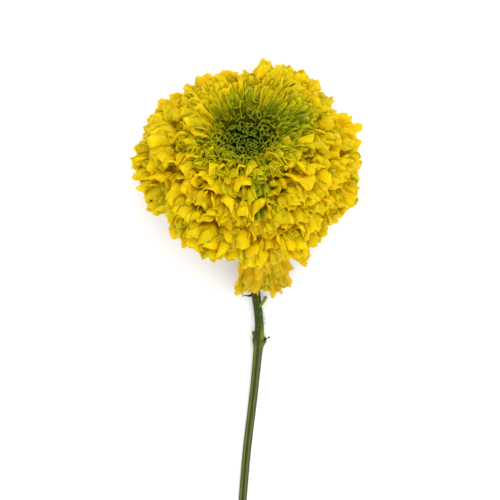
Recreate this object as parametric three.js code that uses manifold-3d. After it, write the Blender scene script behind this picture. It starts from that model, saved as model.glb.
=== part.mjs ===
// One cut African marigold flower, lying as it was laid down on a flat surface, in millimetres.
// +Z is up, the stem runs towards -Y, and the origin is on the surface under the middle of the flower's box.
// The bloom is a dense double pompom: yellow ruffled ray florets outside, narrow yellow-green trumpets round
// a sunken eye, and short green tube florets in the eye. All of them stand on the receptacle in the calyx.
import * as THREE from "three";
import { mergeVertices } from "three/addons/utils/BufferGeometryUtils.js";
import Module from "manifold-3d";

const wasm = await Module();
wasm.setup();

// Where the bloom lies: its middle, and how far its axis leans from straight up towards +Y.
const BLOOM_MIDDLE = new THREE.Vector3(1.3, 60.2, 33);
const BLOOM_LEAN = THREE.MathUtils.degToRad(37);

// The dome that the floret tips reach, as radius and height in the bloom's own frame.
// It starts in the sunken eye, rises to the rim round it, and turns under at the widest ring.
const TIP_OUTLINE = new THREE.SplineCurve([
  new THREE.Vector2(0, 11.5),
  new THREE.Vector2(5.5, 12.5),
  new THREE.Vector2(11, 15.5),
  new THREE.Vector2(16.5, 20.5),
  new THREE.Vector2(22.5, 23.5),
  new THREE.Vector2(30, 22.5),
  new THREE.Vector2(37, 18),
  new THREE.Vector2(42.5, 10.5),
  new THREE.Vector2(45.3, 1),
  new THREE.Vector2(44, -8.5),
  new THREE.Vector2(38.5, -16),
  new THREE.Vector2(29, -21.5),
]);
// Where the widest florets bulge or fall short, by azimuth round the bloom's axis in degrees.
const LOBES = [
  { azimuth: 137, spread: 11, reach: -0.15 },
  { azimuth: 217, spread: 16, reach: -0.08 },
  { azimuth: 93, spread: 16, reach: -0.05 },
  { azimuth: 63, spread: 10, reach: 0.04 },
  { azimuth: 38, spread: 14, reach: -0.05 },
  { azimuth: 322, spread: 14, reach: -0.05 },
];
// Shares of that outline where one kind of floret gives way to the next.
const EYE_END = 2.1 / 11;
const TRUMPET_END = 4.2 / 11;
const RAY_END = 10.6 / 11;
const OUTLINE_SAMPLES = 440;

// The rings, inside the cores, that the florets of each kind are rooted on, from the eye outwards.
const EYE_ROOTS = new THREE.SplineCurve([
  new THREE.Vector2(0, 3),
  new THREE.Vector2(4, 3),
  new THREE.Vector2(7.6, 3.4),
]);
const TRUMPET_ROOTS = new THREE.SplineCurve([
  new THREE.Vector2(12, 4.5),
  new THREE.Vector2(14, 7.5),
  new THREE.Vector2(16.6, 10.6),
]);
const RAY_ROOTS = new THREE.SplineCurve([
  new THREE.Vector2(19.5, 9),
  new THREE.Vector2(26, 9),
  new THREE.Vector2(30.5, 3),
  new THREE.Vector2(30.5, -4),
  new THREE.Vector2(25, -10.5),
  new THREE.Vector2(15, -12.5),
]);
const GOLDEN_ANGLE = Math.PI * (3 - Math.sqrt(5));

const EYE_COUNT = 46;
const TRUMPET_COUNT = 44;
const RAY_COUNT = 128;
const UNDER_COUNT = 13; // the lowest ray florets, whose backs show round the calyx

const BLADE_THICKNESS = 0.8;
const TUBE_SIDES = 4;
const CORE_SEGMENTS = 20;
const SEAT_GAP = 0.3; // between pieces that touch on the flower

const RECEPTACLE_HEIGHT = -19;
const CALYX_BASE_HEIGHT = -30;
const CALYX_RIM_RADIUS = 9.6;
const CALYX_RIM_HEIGHT = -15.5;
const CALYX_RIBS = 6;
const CALYX_RIB_SHARE = 0.035;
const CALYX_SEGMENTS = 24;

const NECK_RADIUS = 2.7; // the hollow swelling just under the calyx
const STEM_RADIUS = 1.62;
const STEM_SIDES = 10;
const STEM_STEPS = 40;
const RIDGE_SHARE = 0.07;
const NODE_AT = -71.5; // the leaf node, along Y from the bloom's middle
const STEM_END = -166;

const SQUASH_HEIGHT = 3.2; // florets lower than this above the surface are pressed flat on it
const SURFACE_PRESS = 0.8; // how much of the lowest florets the surface flattens away

const YELLOW = new THREE.MeshStandardMaterial({ color: 0xf0c808, roughness: 0.6, metalness: 0 });
const YELLOW_GREEN = new THREE.MeshStandardMaterial({ color: 0xb0aa10, roughness: 0.6, metalness: 0 });
const EYE_GREEN = new THREE.MeshStandardMaterial({ color: 0x6f8412, roughness: 0.65, metalness: 0 });
const CALYX_GREEN = new THREE.MeshStandardMaterial({ color: 0x4c6b2a, roughness: 0.6, metalness: 0 });
const STEM_GREEN = new THREE.MeshStandardMaterial({ color: 0x5f7440, roughness: 0.55, metalness: 0 });
const WITHERED_BROWN = new THREE.MeshStandardMaterial({ color: 0x5a4228, roughness: 0.8, metalness: 0 });

// A fixed draw from 0 to 1 for floret number index; salt tells one use from another.
function draw(index, salt) {
  const wave = Math.sin(index * 12.9898 + salt * 78.233) * 43758.5453;
  return wave - Math.floor(wave);
}

// A fixed draw from -1 to 1.
function swing(index, salt) {
  return 2 * draw(index, salt) - 1;
}

// A closed geometry as a solid that can be joined and cut.
function toSolid(geometry) {
  const bare = geometry.index ? geometry.toNonIndexed() : geometry.clone();
  bare.deleteAttribute("normal");
  bare.deleteAttribute("uv");
  const merged = mergeVertices(bare, 1e-4);
  return new wasm.Manifold(
    new wasm.Mesh({
      numProp: 3,
      vertProperties: new Float32Array(merged.attributes.position.array),
      triVerts: new Uint32Array(merged.index.array),
    }),
  );
}

// A solid back as a geometry, without loose scraps and with sealed hollows filled.
function toGeometry(solid) {
  const bodies = solid.decompose().sort((a, b) => b.volume() - a.volume());
  const mesh = bodies[0].getMesh();
  const positions = new Float32Array(mesh.numVert * 3);
  for (let i = 0; i < mesh.numVert; i++) {
    positions.set(mesh.vertProperties.subarray(i * mesh.numProp, i * mesh.numProp + 3), i * 3);
  }
  const geometry = new THREE.BufferGeometry();
  geometry.setAttribute("position", new THREE.BufferAttribute(positions, 3));
  geometry.setIndex(new THREE.BufferAttribute(new Uint32Array(mesh.triVerts), 1));
  geometry.computeVertexNormals();
  return geometry;
}

function joinAll(solids) {
  return wasm.Manifold.union(solids);
}

function namedMesh(name, geometry, material) {
  const mesh = new THREE.Mesh(geometry, material);
  mesh.name = name;
  return mesh;
}

// A lathe round the bloom's axis, from radius and height pairs listed upwards along the outside.
function turned(pairs, segments) {
  const outline = pairs.map(([radius, height]) => new THREE.Vector2(radius, height));
  return new THREE.LatheGeometry(outline, segments).rotateX(Math.PI / 2);
}

const UP_IN_BLOOM = new THREE.Vector3(0, -Math.sin(BLOOM_LEAN), Math.cos(BLOOM_LEAN));

// How high a point of the bloom's own frame is above the surface that the flower lies on.
function heightAboveSurface(point) {
  return BLOOM_MIDDLE.z + point.dot(UP_IN_BLOOM);
}

// Presses a low point up onto the surface: heights under SQUASH_HEIGHT fade out to SURFACE_PRESS below it.
function pressOntoSurface(point) {
  const height = heightAboveSurface(point);
  if (height < SQUASH_HEIGHT) {
    const left = Math.exp(height / SQUASH_HEIGHT - 1);
    const pressed = SQUASH_HEIGHT * left - SURFACE_PRESS * (1 - left);
    point.addScaledVector(UP_IN_BLOOM, pressed - height);
  }
  return point;
}

// Spreads count florets evenly by area between two shares of the outline, turning by the golden angle.
// Each has its index, its share of the outline, how far out it is in its own ring, and its azimuth.
function placeFlorets(count, fromShare, toShare) {
  const samples = [];
  let area = 0;
  let last = TIP_OUTLINE.getPoint(fromShare);
  for (let k = 0; k <= OUTLINE_SAMPLES; k++) {
    const share = fromShare + ((toShare - fromShare) * k) / OUTLINE_SAMPLES;
    const point = TIP_OUTLINE.getPoint(share);
    area += ((point.x + last.x) / 2) * point.distanceTo(last);
    last = point;
    samples.push({ share, area });
  }
  return Array.from({ length: count }, (_, index) => {
    const wanted = ((index + 0.5) / count) * area;
    const share = samples.find((sample) => sample.area >= wanted).share;
    const outwardness = (share - fromShare) / (toShare - fromShare);
    return { index, share, outwardness, azimuth: index * GOLDEN_ANGLE };
  });
}

// How far the dome reaches at an azimuth, against its plain outline.
function lobeReach(azimuth, outwardness) {
  return LOBES.reduce((reach, lobe) => {
    const away = THREE.MathUtils.euclideanModulo(THREE.MathUtils.radToDeg(azimuth) - lobe.azimuth + 180, 360);
    return reach + outwardness * lobe.reach * Math.exp(-(((away - 180) / lobe.spread) ** 2));
  }, 1);
}

// The tip of a floret, the dome's outward normal there, and the two directions along the dome.
function tipFrame(share, azimuth, reach = 1) {
  const point = TIP_OUTLINE.getPoint(share);
  const along = TIP_OUTLINE.getTangent(share);
  const radial = new THREE.Vector3(Math.cos(azimuth), Math.sin(azimuth), 0);
  const tip = radial.clone().multiplyScalar(reach * point.x).setZ(reach * point.y);
  const outward = radial.clone().multiplyScalar(along.x).setZ(along.y).normalize();
  const sideways = new THREE.Vector3(-Math.sin(azimuth), Math.cos(azimuth), 0);
  const normal = new THREE.Vector3().crossVectors(outward, sideways).normalize();
  return { tip, normal, outward, sideways };
}

// One petal blade: a thin waved solid along a bent middle line from root to tip.
// rows lists [share of the length, points across]; each row waves more the nearer it is to the tip.
function bladeSolid({ root, elbow, tip, sideways, halfWidth, rows, wave, waves, phase, cup, pressed = true }) {
  const middleLine = new THREE.QuadraticBezierCurve3(root, elbow, tip);
  const settle = pressed ? pressOntoSurface : (point) => point;
  const front = [];
  const back = [];
  const rowStarts = [];
  for (const [share, across] of rows) {
    rowStarts.push(front.length);
    const middle = middleLine.getPoint(share);
    const along = middleLine.getTangent(share);
    const face = new THREE.Vector3().crossVectors(sideways, along).normalize();
    const side = new THREE.Vector3().crossVectors(along, face).normalize();
    const reach = halfWidth * (0.25 + 0.75 * Math.sin((Math.PI / 2) * share));
    for (let k = 0; k < across; k++) {
      const u = (2 * k) / (across - 1) - 1;
      const lift = share * share * wave * Math.sin(Math.PI * waves * u + phase) + cup * share * u * u;
      const point = middle
        .clone()
        .addScaledVector(side, u * reach)
        .addScaledVector(along, -0.28 * halfWidth * u * u * share)
        .addScaledVector(face, lift);
      front.push(settle(point.clone().addScaledVector(face, BLADE_THICKNESS / 2)));
      back.push(settle(point.clone().addScaledVector(face, -BLADE_THICKNESS / 2)));
    }
  }
  return sheetSolid(front, back, rows.map(([, across]) => across), rowStarts);
}

// Closes two like sheets of rows into one solid, with the same triangles on both.
function sheetSolid(front, back, counts, starts) {
  const count = front.length;
  const triangles = [];
  const addFace = (a, b, c) => {
    triangles.push([a, b, c], [a + count, c + count, b + count]);
  };
  for (let row = 0; row + 1 < counts.length; row++) {
    const [near, far] = [starts[row], starts[row + 1]];
    let i = 0;
    let j = 0;
    while (i < counts[row] - 1 || j < counts[row + 1] - 1) {
      const nearNext = (i + 1) / (counts[row] - 1);
      const farNext = (j + 1) / (counts[row + 1] - 1);
      if (j < counts[row + 1] - 1 && (farNext <= nearNext || i === counts[row] - 1)) {
        addFace(near + i, far + j + 1, far + j);
        j++;
      } else {
        addFace(near + i, near + i + 1, far + j);
        i++;
      }
    }
  }
  const lastRow = counts.length - 1;
  const rim = [];
  for (let k = 0; k < counts[0]; k++) rim.push(k);
  for (let row = 1; row < lastRow; row++) rim.push(starts[row] + counts[row] - 1);
  for (let k = counts[lastRow] - 1; k >= 0; k--) rim.push(starts[lastRow] + k);
  for (let row = lastRow - 1; row > 0; row--) rim.push(starts[row]);
  rim.forEach((a, k) => {
    const b = rim[(k + 1) % rim.length];
    triangles.push([a, a + count, b + count], [a, b + count, b]);
  });
  const geometry = new THREE.BufferGeometry().setFromPoints([...front, ...back]);
  geometry.setIndex(triangles.flat());
  const solid = toSolid(geometry);
  if (solid.volume() > 0) return solid;
  geometry.setIndex(triangles.flatMap(([a, b, c]) => [a, c, b]));
  return toSolid(geometry);
}

// The root of a floret on its ring of roots.
function rootAt(roots, outwardness, azimuth) {
  const point = roots.getPoint(outwardness);
  return new THREE.Vector3(point.x * Math.cos(azimuth), point.x * Math.sin(azimuth), point.y);
}

// A ray floret: it leaves the core along its own radius and bends outwards over its neighbours.
function rayFloret({ index, share, outwardness, azimuth }) {
  const lobed = lobeReach(azimuth, Math.min(1, 2 * outwardness));
  const { tip, normal, outward, sideways } = tipFrame(share, azimuth + 0.06 * swing(index, 1), lobed);
  const bend = THREE.MathUtils.degToRad(30 + 34 * Math.sin(Math.PI * outwardness) + 14 * swing(index, 2));
  const limb = 13 + 3 * draw(index, 3);
  const end = normal.clone().multiplyScalar(Math.cos(bend)).addScaledVector(outward, Math.sin(bend));
  const moved = tip.clone().addScaledVector(normal, 1.6 * swing(index, 4));
  const twisted = sideways.clone().applyAxisAngle(end, 0.5 * swing(index, 5));
  return bladeSolid({
    root: rootAt(RAY_ROOTS, outwardness, azimuth),
    elbow: moved.clone().addScaledVector(end, -limb / 2),
    tip: moved,
    sideways: twisted,
    halfWidth: 5.2 + 1.3 * draw(index, 6),
    rows: [[0, 2], [0.6, 3], [1, 5]],
    wave: 1.5,
    waves: 1.5,
    phase: 2 * Math.PI * draw(index, 7),
    cup: 1.2 * swing(index, 8),
  });
}

// A narrow trumpet floret of the ring round the eye, folded along its middle.
function trumpetFloret({ index, share, outwardness, azimuth }) {
  const { tip, normal, outward, sideways } = tipFrame(share, azimuth + 0.08 * swing(index, 11));
  const bend = THREE.MathUtils.degToRad(14 + 14 * draw(index, 12));
  const end = normal.clone().multiplyScalar(Math.cos(bend)).addScaledVector(outward, Math.sin(bend));
  const moved = tip.clone().addScaledVector(normal, 1.2 * swing(index, 13));
  return bladeSolid({
    root: rootAt(TRUMPET_ROOTS, outwardness, azimuth),
    elbow: moved.clone().addScaledVector(end, -7),
    tip: moved,
    sideways: sideways.clone().applyAxisAngle(end, 0.5 * swing(index, 14)),
    halfWidth: 2.2 + 0.7 * draw(index, 15),
    rows: [[0, 2], [0.55, 2], [1, 3]],
    wave: 0.3,
    waves: 1,
    phase: 0,
    cup: 1.5,
  });
}

// A tube floret of the eye: four-sided, wider at its open mouth, which dips to a point inside.
function tubeFloret({ index, share, outwardness, azimuth }) {
  const { tip } = tipFrame(share, azimuth);
  const root = rootAt(EYE_ROOTS, outwardness, azimuth);
  const mouthRadius = 1.15 + 0.35 * draw(index, 21) + 0.35 * (share / EYE_END);
  const length = tip.distanceTo(root) + 1.2 * swing(index, 22);
  const geometry = new THREE.CylinderGeometry(mouthRadius, 0.6, length, TUBE_SIDES, 1);
  geometry.translate(0, length / 2, 0);
  const position = geometry.attributes.position;
  for (let k = 0; k < position.count; k++) {
    const onMouth = position.getY(k) > length - 1e-3;
    const inMiddle = Math.hypot(position.getX(k), position.getZ(k)) < 1e-3;
    if (onMouth && inMiddle) position.setY(k, length - 2);
  }
  const lean = tip.clone().sub(root).normalize();
  lean.x += 0.12 * swing(index, 23);
  lean.y += 0.12 * swing(index, 24);
  geometry.applyQuaternion(
    new THREE.Quaternion().setFromUnitVectors(new THREE.Vector3(0, 1, 0), lean.normalize()),
  );
  geometry.translate(root.x, root.y, root.z);
  return toSolid(geometry);
}

// One of the lowest ray florets: it leaves the core beside the calyx and arches out along the underside.
function underFloret(index) {
  const azimuth = (2 * Math.PI * (index + 0.3 * swing(index, 41))) / UNDER_COUNT;
  const radial = new THREE.Vector3(Math.cos(azimuth), Math.sin(azimuth), 0);
  const at = (radius, height) => radial.clone().multiplyScalar(radius).setZ(height);
  const reach = 33 + 2.5 * swing(index, 42);
  return bladeSolid({
    root: at(13.5, -12.2),
    elbow: at(0.62 * reach, -19.5),
    tip: at(reach, -19.5 - 1.5 * swing(index, 43)),
    sideways: new THREE.Vector3(-Math.sin(azimuth), Math.cos(azimuth), 0),
    halfWidth: 6.2 + draw(index, 44),
    rows: [[0, 2], [0.55, 3], [1, 5]],
    wave: 1.2,
    waves: 1.5,
    phase: 2 * Math.PI * draw(index, 45),
    cup: 0.8,
  });
}

// The old outermost ray florets hang below the rest, over the stem's top.
// Each is placed by its tip, across and along from the bloom's middle and up from the surface.
const HANGING_FLORETS = [
  { across: -2.5, along: -51.5, height: 11.5, halfWidth: 4.8, rootAcross: -3.5 },
  { across: 5, along: -50.5, height: 14.5, halfWidth: 6, rootAcross: 2.5 },
  { across: 12.5, along: -49.5, height: 12.5, halfWidth: 6, rootAcross: 8 },
  { across: 23.5, along: -38.5, height: 17, halfWidth: 4.6, rootAcross: 14 },
];
const HANGING_ROOT = { along: -22, height: 35.5 };

// The ray florets that the bloom lies on, spread flat on the surface under the far side of its rim.
const RESTING_FLORETS = [
  { across: -16, along: 23, halfWidth: 5.5, rootAcross: -11 },
  { across: -2, along: 27, halfWidth: 6, rootAcross: -2 },
  { across: 14, along: 25, halfWidth: 5.5, rootAcross: 9 },
];
const RESTING_ROOT = { along: 9.5, height: 10.5 };
const RESTING_ELBOW = { back: 12, height: -1.2 };
const RESTING_TIP_HEIGHT = 0.35;

// A point given from above, in the bloom's own frame.
function inBloomFrame(across, along, height) {
  return new THREE.Vector3(across, along, height - BLOOM_MIDDLE.z)
    .applyAxisAngle(new THREE.Vector3(1, 0, 0), BLOOM_LEAN);
}

function hangingFloret({ across, along, height, halfWidth, rootAcross }, index) {
  const root = inBloomFrame(rootAcross, HANGING_ROOT.along, HANGING_ROOT.height);
  const tip = inBloomFrame(across, along, height);
  const elbow = inBloomFrame((across + rootAcross) / 2, along + 12, height + 9);
  const sideways = new THREE.Vector3(1, 0, 0);
  return bladeSolid({
    root,
    elbow,
    tip,
    sideways: sideways.applyAxisAngle(inBloomFrame(0, 1, BLOOM_MIDDLE.z), 0.25 * swing(index, 31)),
    halfWidth,
    rows: [[0, 2], [0.45, 3], [0.8, 4], [1, 5]],
    wave: 1.1,
    waves: 1.5,
    phase: 2 * Math.PI * draw(index, 32),
    cup: -0.8,
  });
}

function restingFloret({ across, along, halfWidth, rootAcross }) {
  return bladeSolid({
    root: inBloomFrame(rootAcross, RESTING_ROOT.along, RESTING_ROOT.height),
    elbow: inBloomFrame(across, along - RESTING_ELBOW.back, RESTING_ELBOW.height),
    tip: inBloomFrame(across, along, RESTING_TIP_HEIGHT),
    sideways: new THREE.Vector3(1, 0, 0),
    halfWidth,
    rows: [[0, 2], [0.5, 3], [0.8, 3], [1, 5]],
    wave: 0,
    waves: 1,
    phase: 0,
    cup: 0,
    pressed: false,
  });
}

// The bundle of narrow floret bases that one ring of florets stands out of.
const RAY_CORE = turned(
  [
    [5.3, -18.6], [7.9, -18.6], [8.2, -15.4], [10.2, -10.7], [12.5, -12.5], [20, -16], [27.5, -14.5],
    [33, -7], [34.5, 1], [31.5, 8.5], [26.5, 12.5], [20.5, 12.5], [14.5, 3], [9.3, -8], [5.3, -18.6],
  ],
  CORE_SEGMENTS,
);
const TRUMPET_CORE = turned(
  [
    [2.4, -18.6], [5, -18.6], [9, -8], [14.2, 3], [19.2, 11.8], [15.5, 13], [11, 6], [6.4, -4],
    [4.2, -12], [2.4, -18.6],
  ],
  CORE_SEGMENTS,
);
const EYE_CORE = turned(
  [[0, -18.6], [2.1, -18.6], [3.9, -12], [6.1, -4], [9.3, 4.5], [0, 5.5]],
  CORE_SEGMENTS,
);

// The surfaces between rings of florets, as wide as SEAT_GAP, that keep one colour clear of the next.
function ringBoundary(pairs, shift) {
  const top = pairs[pairs.length - 1][1];
  const outline = pairs.map(([radius, height]) => [radius + shift, height]);
  return toSolid(turned([[0, pairs[0][1]], ...outline, [0, top]], CORE_SEGMENTS));
}
const EYE_BOUNDARY = [[2.25, -19], [6.25, -4], [10.2, 5], [20, 26]];
const TRUMPET_BOUNDARY = [[5.15, -19], [14.35, 3], [19.8, 12], [34, 34]];

// Everything under the surface that the flower lies on, in the bloom's own frame.
function belowSurface() {
  const slab = new THREE.BoxGeometry(200, 200, 20).translate(0, 0, -10 - BLOOM_MIDDLE.z);
  return toSolid(slab.rotateX(BLOOM_LEAN));
}

function rayFlorets() {
  const blades = placeFlorets(RAY_COUNT, TRUMPET_END, RAY_END).map(rayFloret);
  const under = Array.from({ length: UNDER_COUNT }, (_, index) => underFloret(index));
  const hanging = HANGING_FLORETS.map(hangingFloret);
  const resting = RESTING_FLORETS.map(restingFloret);
  const all = joinAll([toSolid(RAY_CORE), ...blades, ...under, ...hanging, ...resting]);
  return toGeometry(all.subtract(ringBoundary(TRUMPET_BOUNDARY, SEAT_GAP / 2)).subtract(belowSurface()));
}

function trumpetFlorets() {
  const blades = placeFlorets(TRUMPET_COUNT, EYE_END, TRUMPET_END).map(trumpetFloret);
  const all = joinAll([toSolid(TRUMPET_CORE), ...blades]);
  const inside = all.intersect(ringBoundary(TRUMPET_BOUNDARY, -SEAT_GAP / 2));
  return toGeometry(inside.subtract(ringBoundary(EYE_BOUNDARY, SEAT_GAP / 2)));
}

function eyeFlorets() {
  const tubes = placeFlorets(EYE_COUNT, 0, EYE_END).map(tubeFloret);
  const all = joinAll([toSolid(EYE_CORE), ...tubes]);
  return toGeometry(all.intersect(ringBoundary(EYE_BOUNDARY, -SEAT_GAP / 2)));
}

// The calyx: a ribbed cup of joined bracts with the receptacle in it, and a tooth above each rib.
function calyx() {
  const body = turned(
    [
      [0, CALYX_BASE_HEIGHT], [NECK_RADIUS, CALYX_BASE_HEIGHT], [5, CALYX_BASE_HEIGHT + 2.2],
      [7.6, CALYX_BASE_HEIGHT + 6.5], [9.1, RECEPTACLE_HEIGHT], [CALYX_RIM_RADIUS, CALYX_RIM_HEIGHT],
      [CALYX_RIM_RADIUS - 0.8, CALYX_RIM_HEIGHT], [8.3, RECEPTACLE_HEIGHT], [0, RECEPTACLE_HEIGHT],
    ],
    CALYX_SEGMENTS,
  );
  const position = body.attributes.position;
  for (let k = 0; k < position.count; k++) {
    const [x, y] = [position.getX(k), position.getY(k)];
    const rib = 1 + CALYX_RIB_SHARE * Math.cos(CALYX_RIBS * Math.atan2(y, x));
    position.setXY(k, x * rib, y * rib);
  }
  const teeth = Array.from({ length: CALYX_RIBS }, (_, k) => calyxTooth((2 * Math.PI * k) / CALYX_RIBS));
  return toGeometry(joinAll([toSolid(body), ...teeth]));
}

function calyxTooth(azimuth) {
  const radial = new THREE.Vector3(Math.cos(azimuth), Math.sin(azimuth), 0);
  const at = (radius, height) => radial.clone().multiplyScalar(radius).setZ(height);
  const front = [];
  const back = [];
  const side = new THREE.Vector3(-Math.sin(azimuth), Math.cos(azimuth), 0);
  for (const [halfWidth, radius, height] of [[3.1, 9.15, -16.6], [2.2, 9.75, -14], [0.4, 10.3, -11.6]]) {
    for (const end of [-1, 1]) {
      front.push(at(radius + 0.35, height).addScaledVector(side, end * halfWidth));
      back.push(at(radius - 0.35, height).addScaledVector(side, end * halfWidth));
    }
  }
  return sheetSolid(front, back, [2, 2, 2], [0, 2, 4]);
}

// The stem's middle line, across and along from the bloom's middle and up from the surface.
const CALYX_BASE = new THREE.Vector3(0, 0, CALYX_BASE_HEIGHT - SEAT_GAP)
  .applyAxisAngle(new THREE.Vector3(1, 0, 0), -BLOOM_LEAN)
  .setZ(BLOOM_MIDDLE.z + (CALYX_BASE_HEIGHT - SEAT_GAP) * Math.cos(BLOOM_LEAN));
const STEM_LINE = new THREE.CatmullRomCurve3([
  CALYX_BASE,
  CALYX_BASE.clone().add(new THREE.Vector3(0.1, -1.6, -2.1)),
  new THREE.Vector3(0.7, -24, 4.9),
  new THREE.Vector3(1.6, -32, 3.5),
  new THREE.Vector3(3.6, -50, 3.2),
  new THREE.Vector3(5.2, -64, 3),
  new THREE.Vector3(5, NODE_AT - 1.5, 2.9),
  new THREE.Vector3(2.8, -95, 2.6),
  new THREE.Vector3(0.4, -115, 2.3),
  new THREE.Vector3(-1.4, -136, 2),
  new THREE.Vector3(-3.4, STEM_END, STEM_RADIUS),
]);

// The stem's radius at a place along Y: the neck, the thin run, the leaf node and the ribbed run below it.
function stemRadius(along) {
  const neck = (NECK_RADIUS - STEM_RADIUS) * Math.exp((along - CALYX_BASE.y) / 9);
  const node = 0.75 * Math.exp(-(((along - NODE_AT) / 2.6) ** 2));
  const belowNode = along < NODE_AT ? 0.25 * Math.exp((along - NODE_AT) / 12) : 0.1;
  return STEM_RADIUS + Math.min(neck, NECK_RADIUS - STEM_RADIUS) + node + belowNode;
}

// A tube whose radius changes along a line, made by moving a cylinder's rings onto the line.
function tubeAlong(line, sides, steps, radiusAt, ridge) {
  const geometry = new THREE.CylinderGeometry(1, 1, 1, sides, steps);
  const position = geometry.attributes.position;
  const frames = line.computeFrenetFrames(steps, false);
  for (let k = 0; k < position.count; k++) {
    const step = Math.round((0.5 - position.getY(k)) * steps);
    const middle = line.getPointAt(step / steps);
    const turn = Math.atan2(position.getZ(k), position.getX(k));
    const reach = Math.hypot(position.getX(k), position.getZ(k));
    const ridged = 1 + ridge * Math.cos((sides / 2) * turn);
    const radius = reach * radiusAt(middle) * ridged;
    middle.addScaledVector(frames.normals[step], radius * Math.cos(turn));
    middle.addScaledVector(frames.binormals[step], radius * Math.sin(turn));
    position.setXYZ(k, middle.x, middle.y, middle.z);
  }
  return toSolid(geometry);
}

// A short cut-off side shoot, as a tapered six-sided peg from one point to another.
function peg(from, to, rootRadius, endRadius) {
  const line = new THREE.LineCurve3(from, to);
  const radiusAt = (point) =>
    THREE.MathUtils.lerp(rootRadius, endRadius, point.distanceTo(from) / from.distanceTo(to));
  return tubeAlong(line, 6, 2, radiusAt, 0);
}

// The stem with what grew from it: the stumps of two leaves at the node and of a bud under the bloom.
function stem() {
  const run = tubeAlong(STEM_LINE, STEM_SIDES, STEM_STEPS, (point) => stemRadius(point.y), RIDGE_SHARE);
  const leftStump = peg(new THREE.Vector3(4.1, -72.2, 3.2), new THREE.Vector3(3, -68, 4), 0.95, 0.74);
  const rightStump = peg(new THREE.Vector3(5.2, -73.2, 3.6), new THREE.Vector3(7.4, -70.4, 4.5), 1.25, 0.9);
  const budStump = peg(new THREE.Vector3(4.6, -59, 3.6), new THREE.Vector3(8.2, -54, 5), 0.7, 0.55);
  return toGeometry(joinAll([run, leftStump, rightStump, budStump]));
}

// A withered bract at the stem's top and a withered leaf stalk on the right stump.
function witheredBract() {
  return toGeometry(peg(new THREE.Vector3(1.75, -53.4, 3.6), new THREE.Vector3(-1.4, -53.9, 4.3), 0.5, 0.3));
}

function witheredStalk() {
  const tip = new THREE.Vector3(9.9, -70.4, 4.95);
  const stalk = peg(new THREE.Vector3(8.4, -71.2, 4.55), tip, 0.32, 0.3);
  const bead = toSolid(new THREE.SphereGeometry(0.5, 8, 6).translate(tip.x, tip.y, tip.z));
  return toGeometry(joinAll([stalk, bead]));
}

const flower = new THREE.Group();

const bloom = new THREE.Group();
bloom.position.copy(BLOOM_MIDDLE);
bloom.rotation.x = -BLOOM_LEAN;
bloom.add(namedMesh("ray_florets", rayFlorets(), YELLOW));
bloom.add(namedMesh("trumpet_florets", trumpetFlorets(), YELLOW_GREEN));
bloom.add(namedMesh("eye_florets", eyeFlorets(), EYE_GREEN));
bloom.add(namedMesh("calyx", calyx(), CALYX_GREEN));
flower.add(bloom);

const stalk = new THREE.Group();
stalk.position.set(BLOOM_MIDDLE.x, BLOOM_MIDDLE.y, 0);
stalk.add(namedMesh("stem", stem(), STEM_GREEN));
stalk.add(namedMesh("withered_bract", witheredBract(), WITHERED_BROWN));
stalk.add(namedMesh("withered_stalk", witheredStalk(), WITHERED_BROWN));
flower.add(stalk);

export default flower;
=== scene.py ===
# One cut African marigold flower, lying on a pale surface and seen from above, in metres.
import math

import bpy
import numpy as np
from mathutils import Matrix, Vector


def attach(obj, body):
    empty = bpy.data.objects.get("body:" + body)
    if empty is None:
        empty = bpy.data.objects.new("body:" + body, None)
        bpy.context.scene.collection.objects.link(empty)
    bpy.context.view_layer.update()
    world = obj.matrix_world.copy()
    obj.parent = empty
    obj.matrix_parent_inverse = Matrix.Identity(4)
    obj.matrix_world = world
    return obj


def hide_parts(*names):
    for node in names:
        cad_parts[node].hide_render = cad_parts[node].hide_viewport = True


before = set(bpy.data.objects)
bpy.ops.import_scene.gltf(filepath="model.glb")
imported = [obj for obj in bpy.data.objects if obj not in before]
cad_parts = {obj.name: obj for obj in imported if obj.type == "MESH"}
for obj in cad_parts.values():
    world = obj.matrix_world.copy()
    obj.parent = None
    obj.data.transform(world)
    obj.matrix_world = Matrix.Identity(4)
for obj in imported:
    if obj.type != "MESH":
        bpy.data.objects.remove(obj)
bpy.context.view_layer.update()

MM = 0.001
UP = np.array([0.0, 0.0, 1.0])
GOLDEN_ANGLE = math.pi * (3 - math.sqrt(5))

# Where the bloom lies: its middle, and how far its axis leans from straight up towards +Y.
BLOOM_MIDDLE = np.array([1.3, 60.2, 33.0]) * MM
BLOOM_LEAN = math.radians(37)

# The dome that the floret tips reach, as radius and height in the bloom's own frame, from the eye outwards.
TIP_OUTLINE = np.array([
    (0, 11.5), (5.5, 12.5), (11, 15.5), (16.5, 20.5), (22.5, 23.5), (30, 22.5),
    (37, 18), (42.5, 10.5), (45.3, 1), (44, -8.5), (38.5, -16), (29, -21.5),
]) * MM
# How far the florets' ends lean from the bloom's axis at each of those points, in degrees.
END_LEAN = [0, 8, 16, 24, 42, 76, 98, 116, 132, 146, 158, 166]

# The rings inside the bloom that the florets are rooted on, from the eye outwards.
EYE_ROOTS = np.array([(0, 3), (4, 3), (8.5, 3.4)]) * MM
TRUMPET_ROOTS = np.array([(7, 3.2), (13, 7), (18, 10)]) * MM
RAY_ROOTS = np.array([(17, 10), (26, 9), (30.5, 3), (30.5, -4), (25, -10.5), (15, -12.5)]) * MM

# Places on the outline, counted in its points, where one kind of floret gives way to the next.
EYE_END = 2.0
TRUMPET_END = 4.1
NEAR_TRUMPET_END = 4.7
RAY_END = 10.6

# Azimuths of the bloom's sides in degrees, from its right by the far side; petals part at the valley.
RIGHT_SIDE = 5
FAR_SIDE = 90
LEFT_SIDE = 158
SHADE_SIDE = 228
NEAR_SIDE = 245
VALLEY = 282

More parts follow.
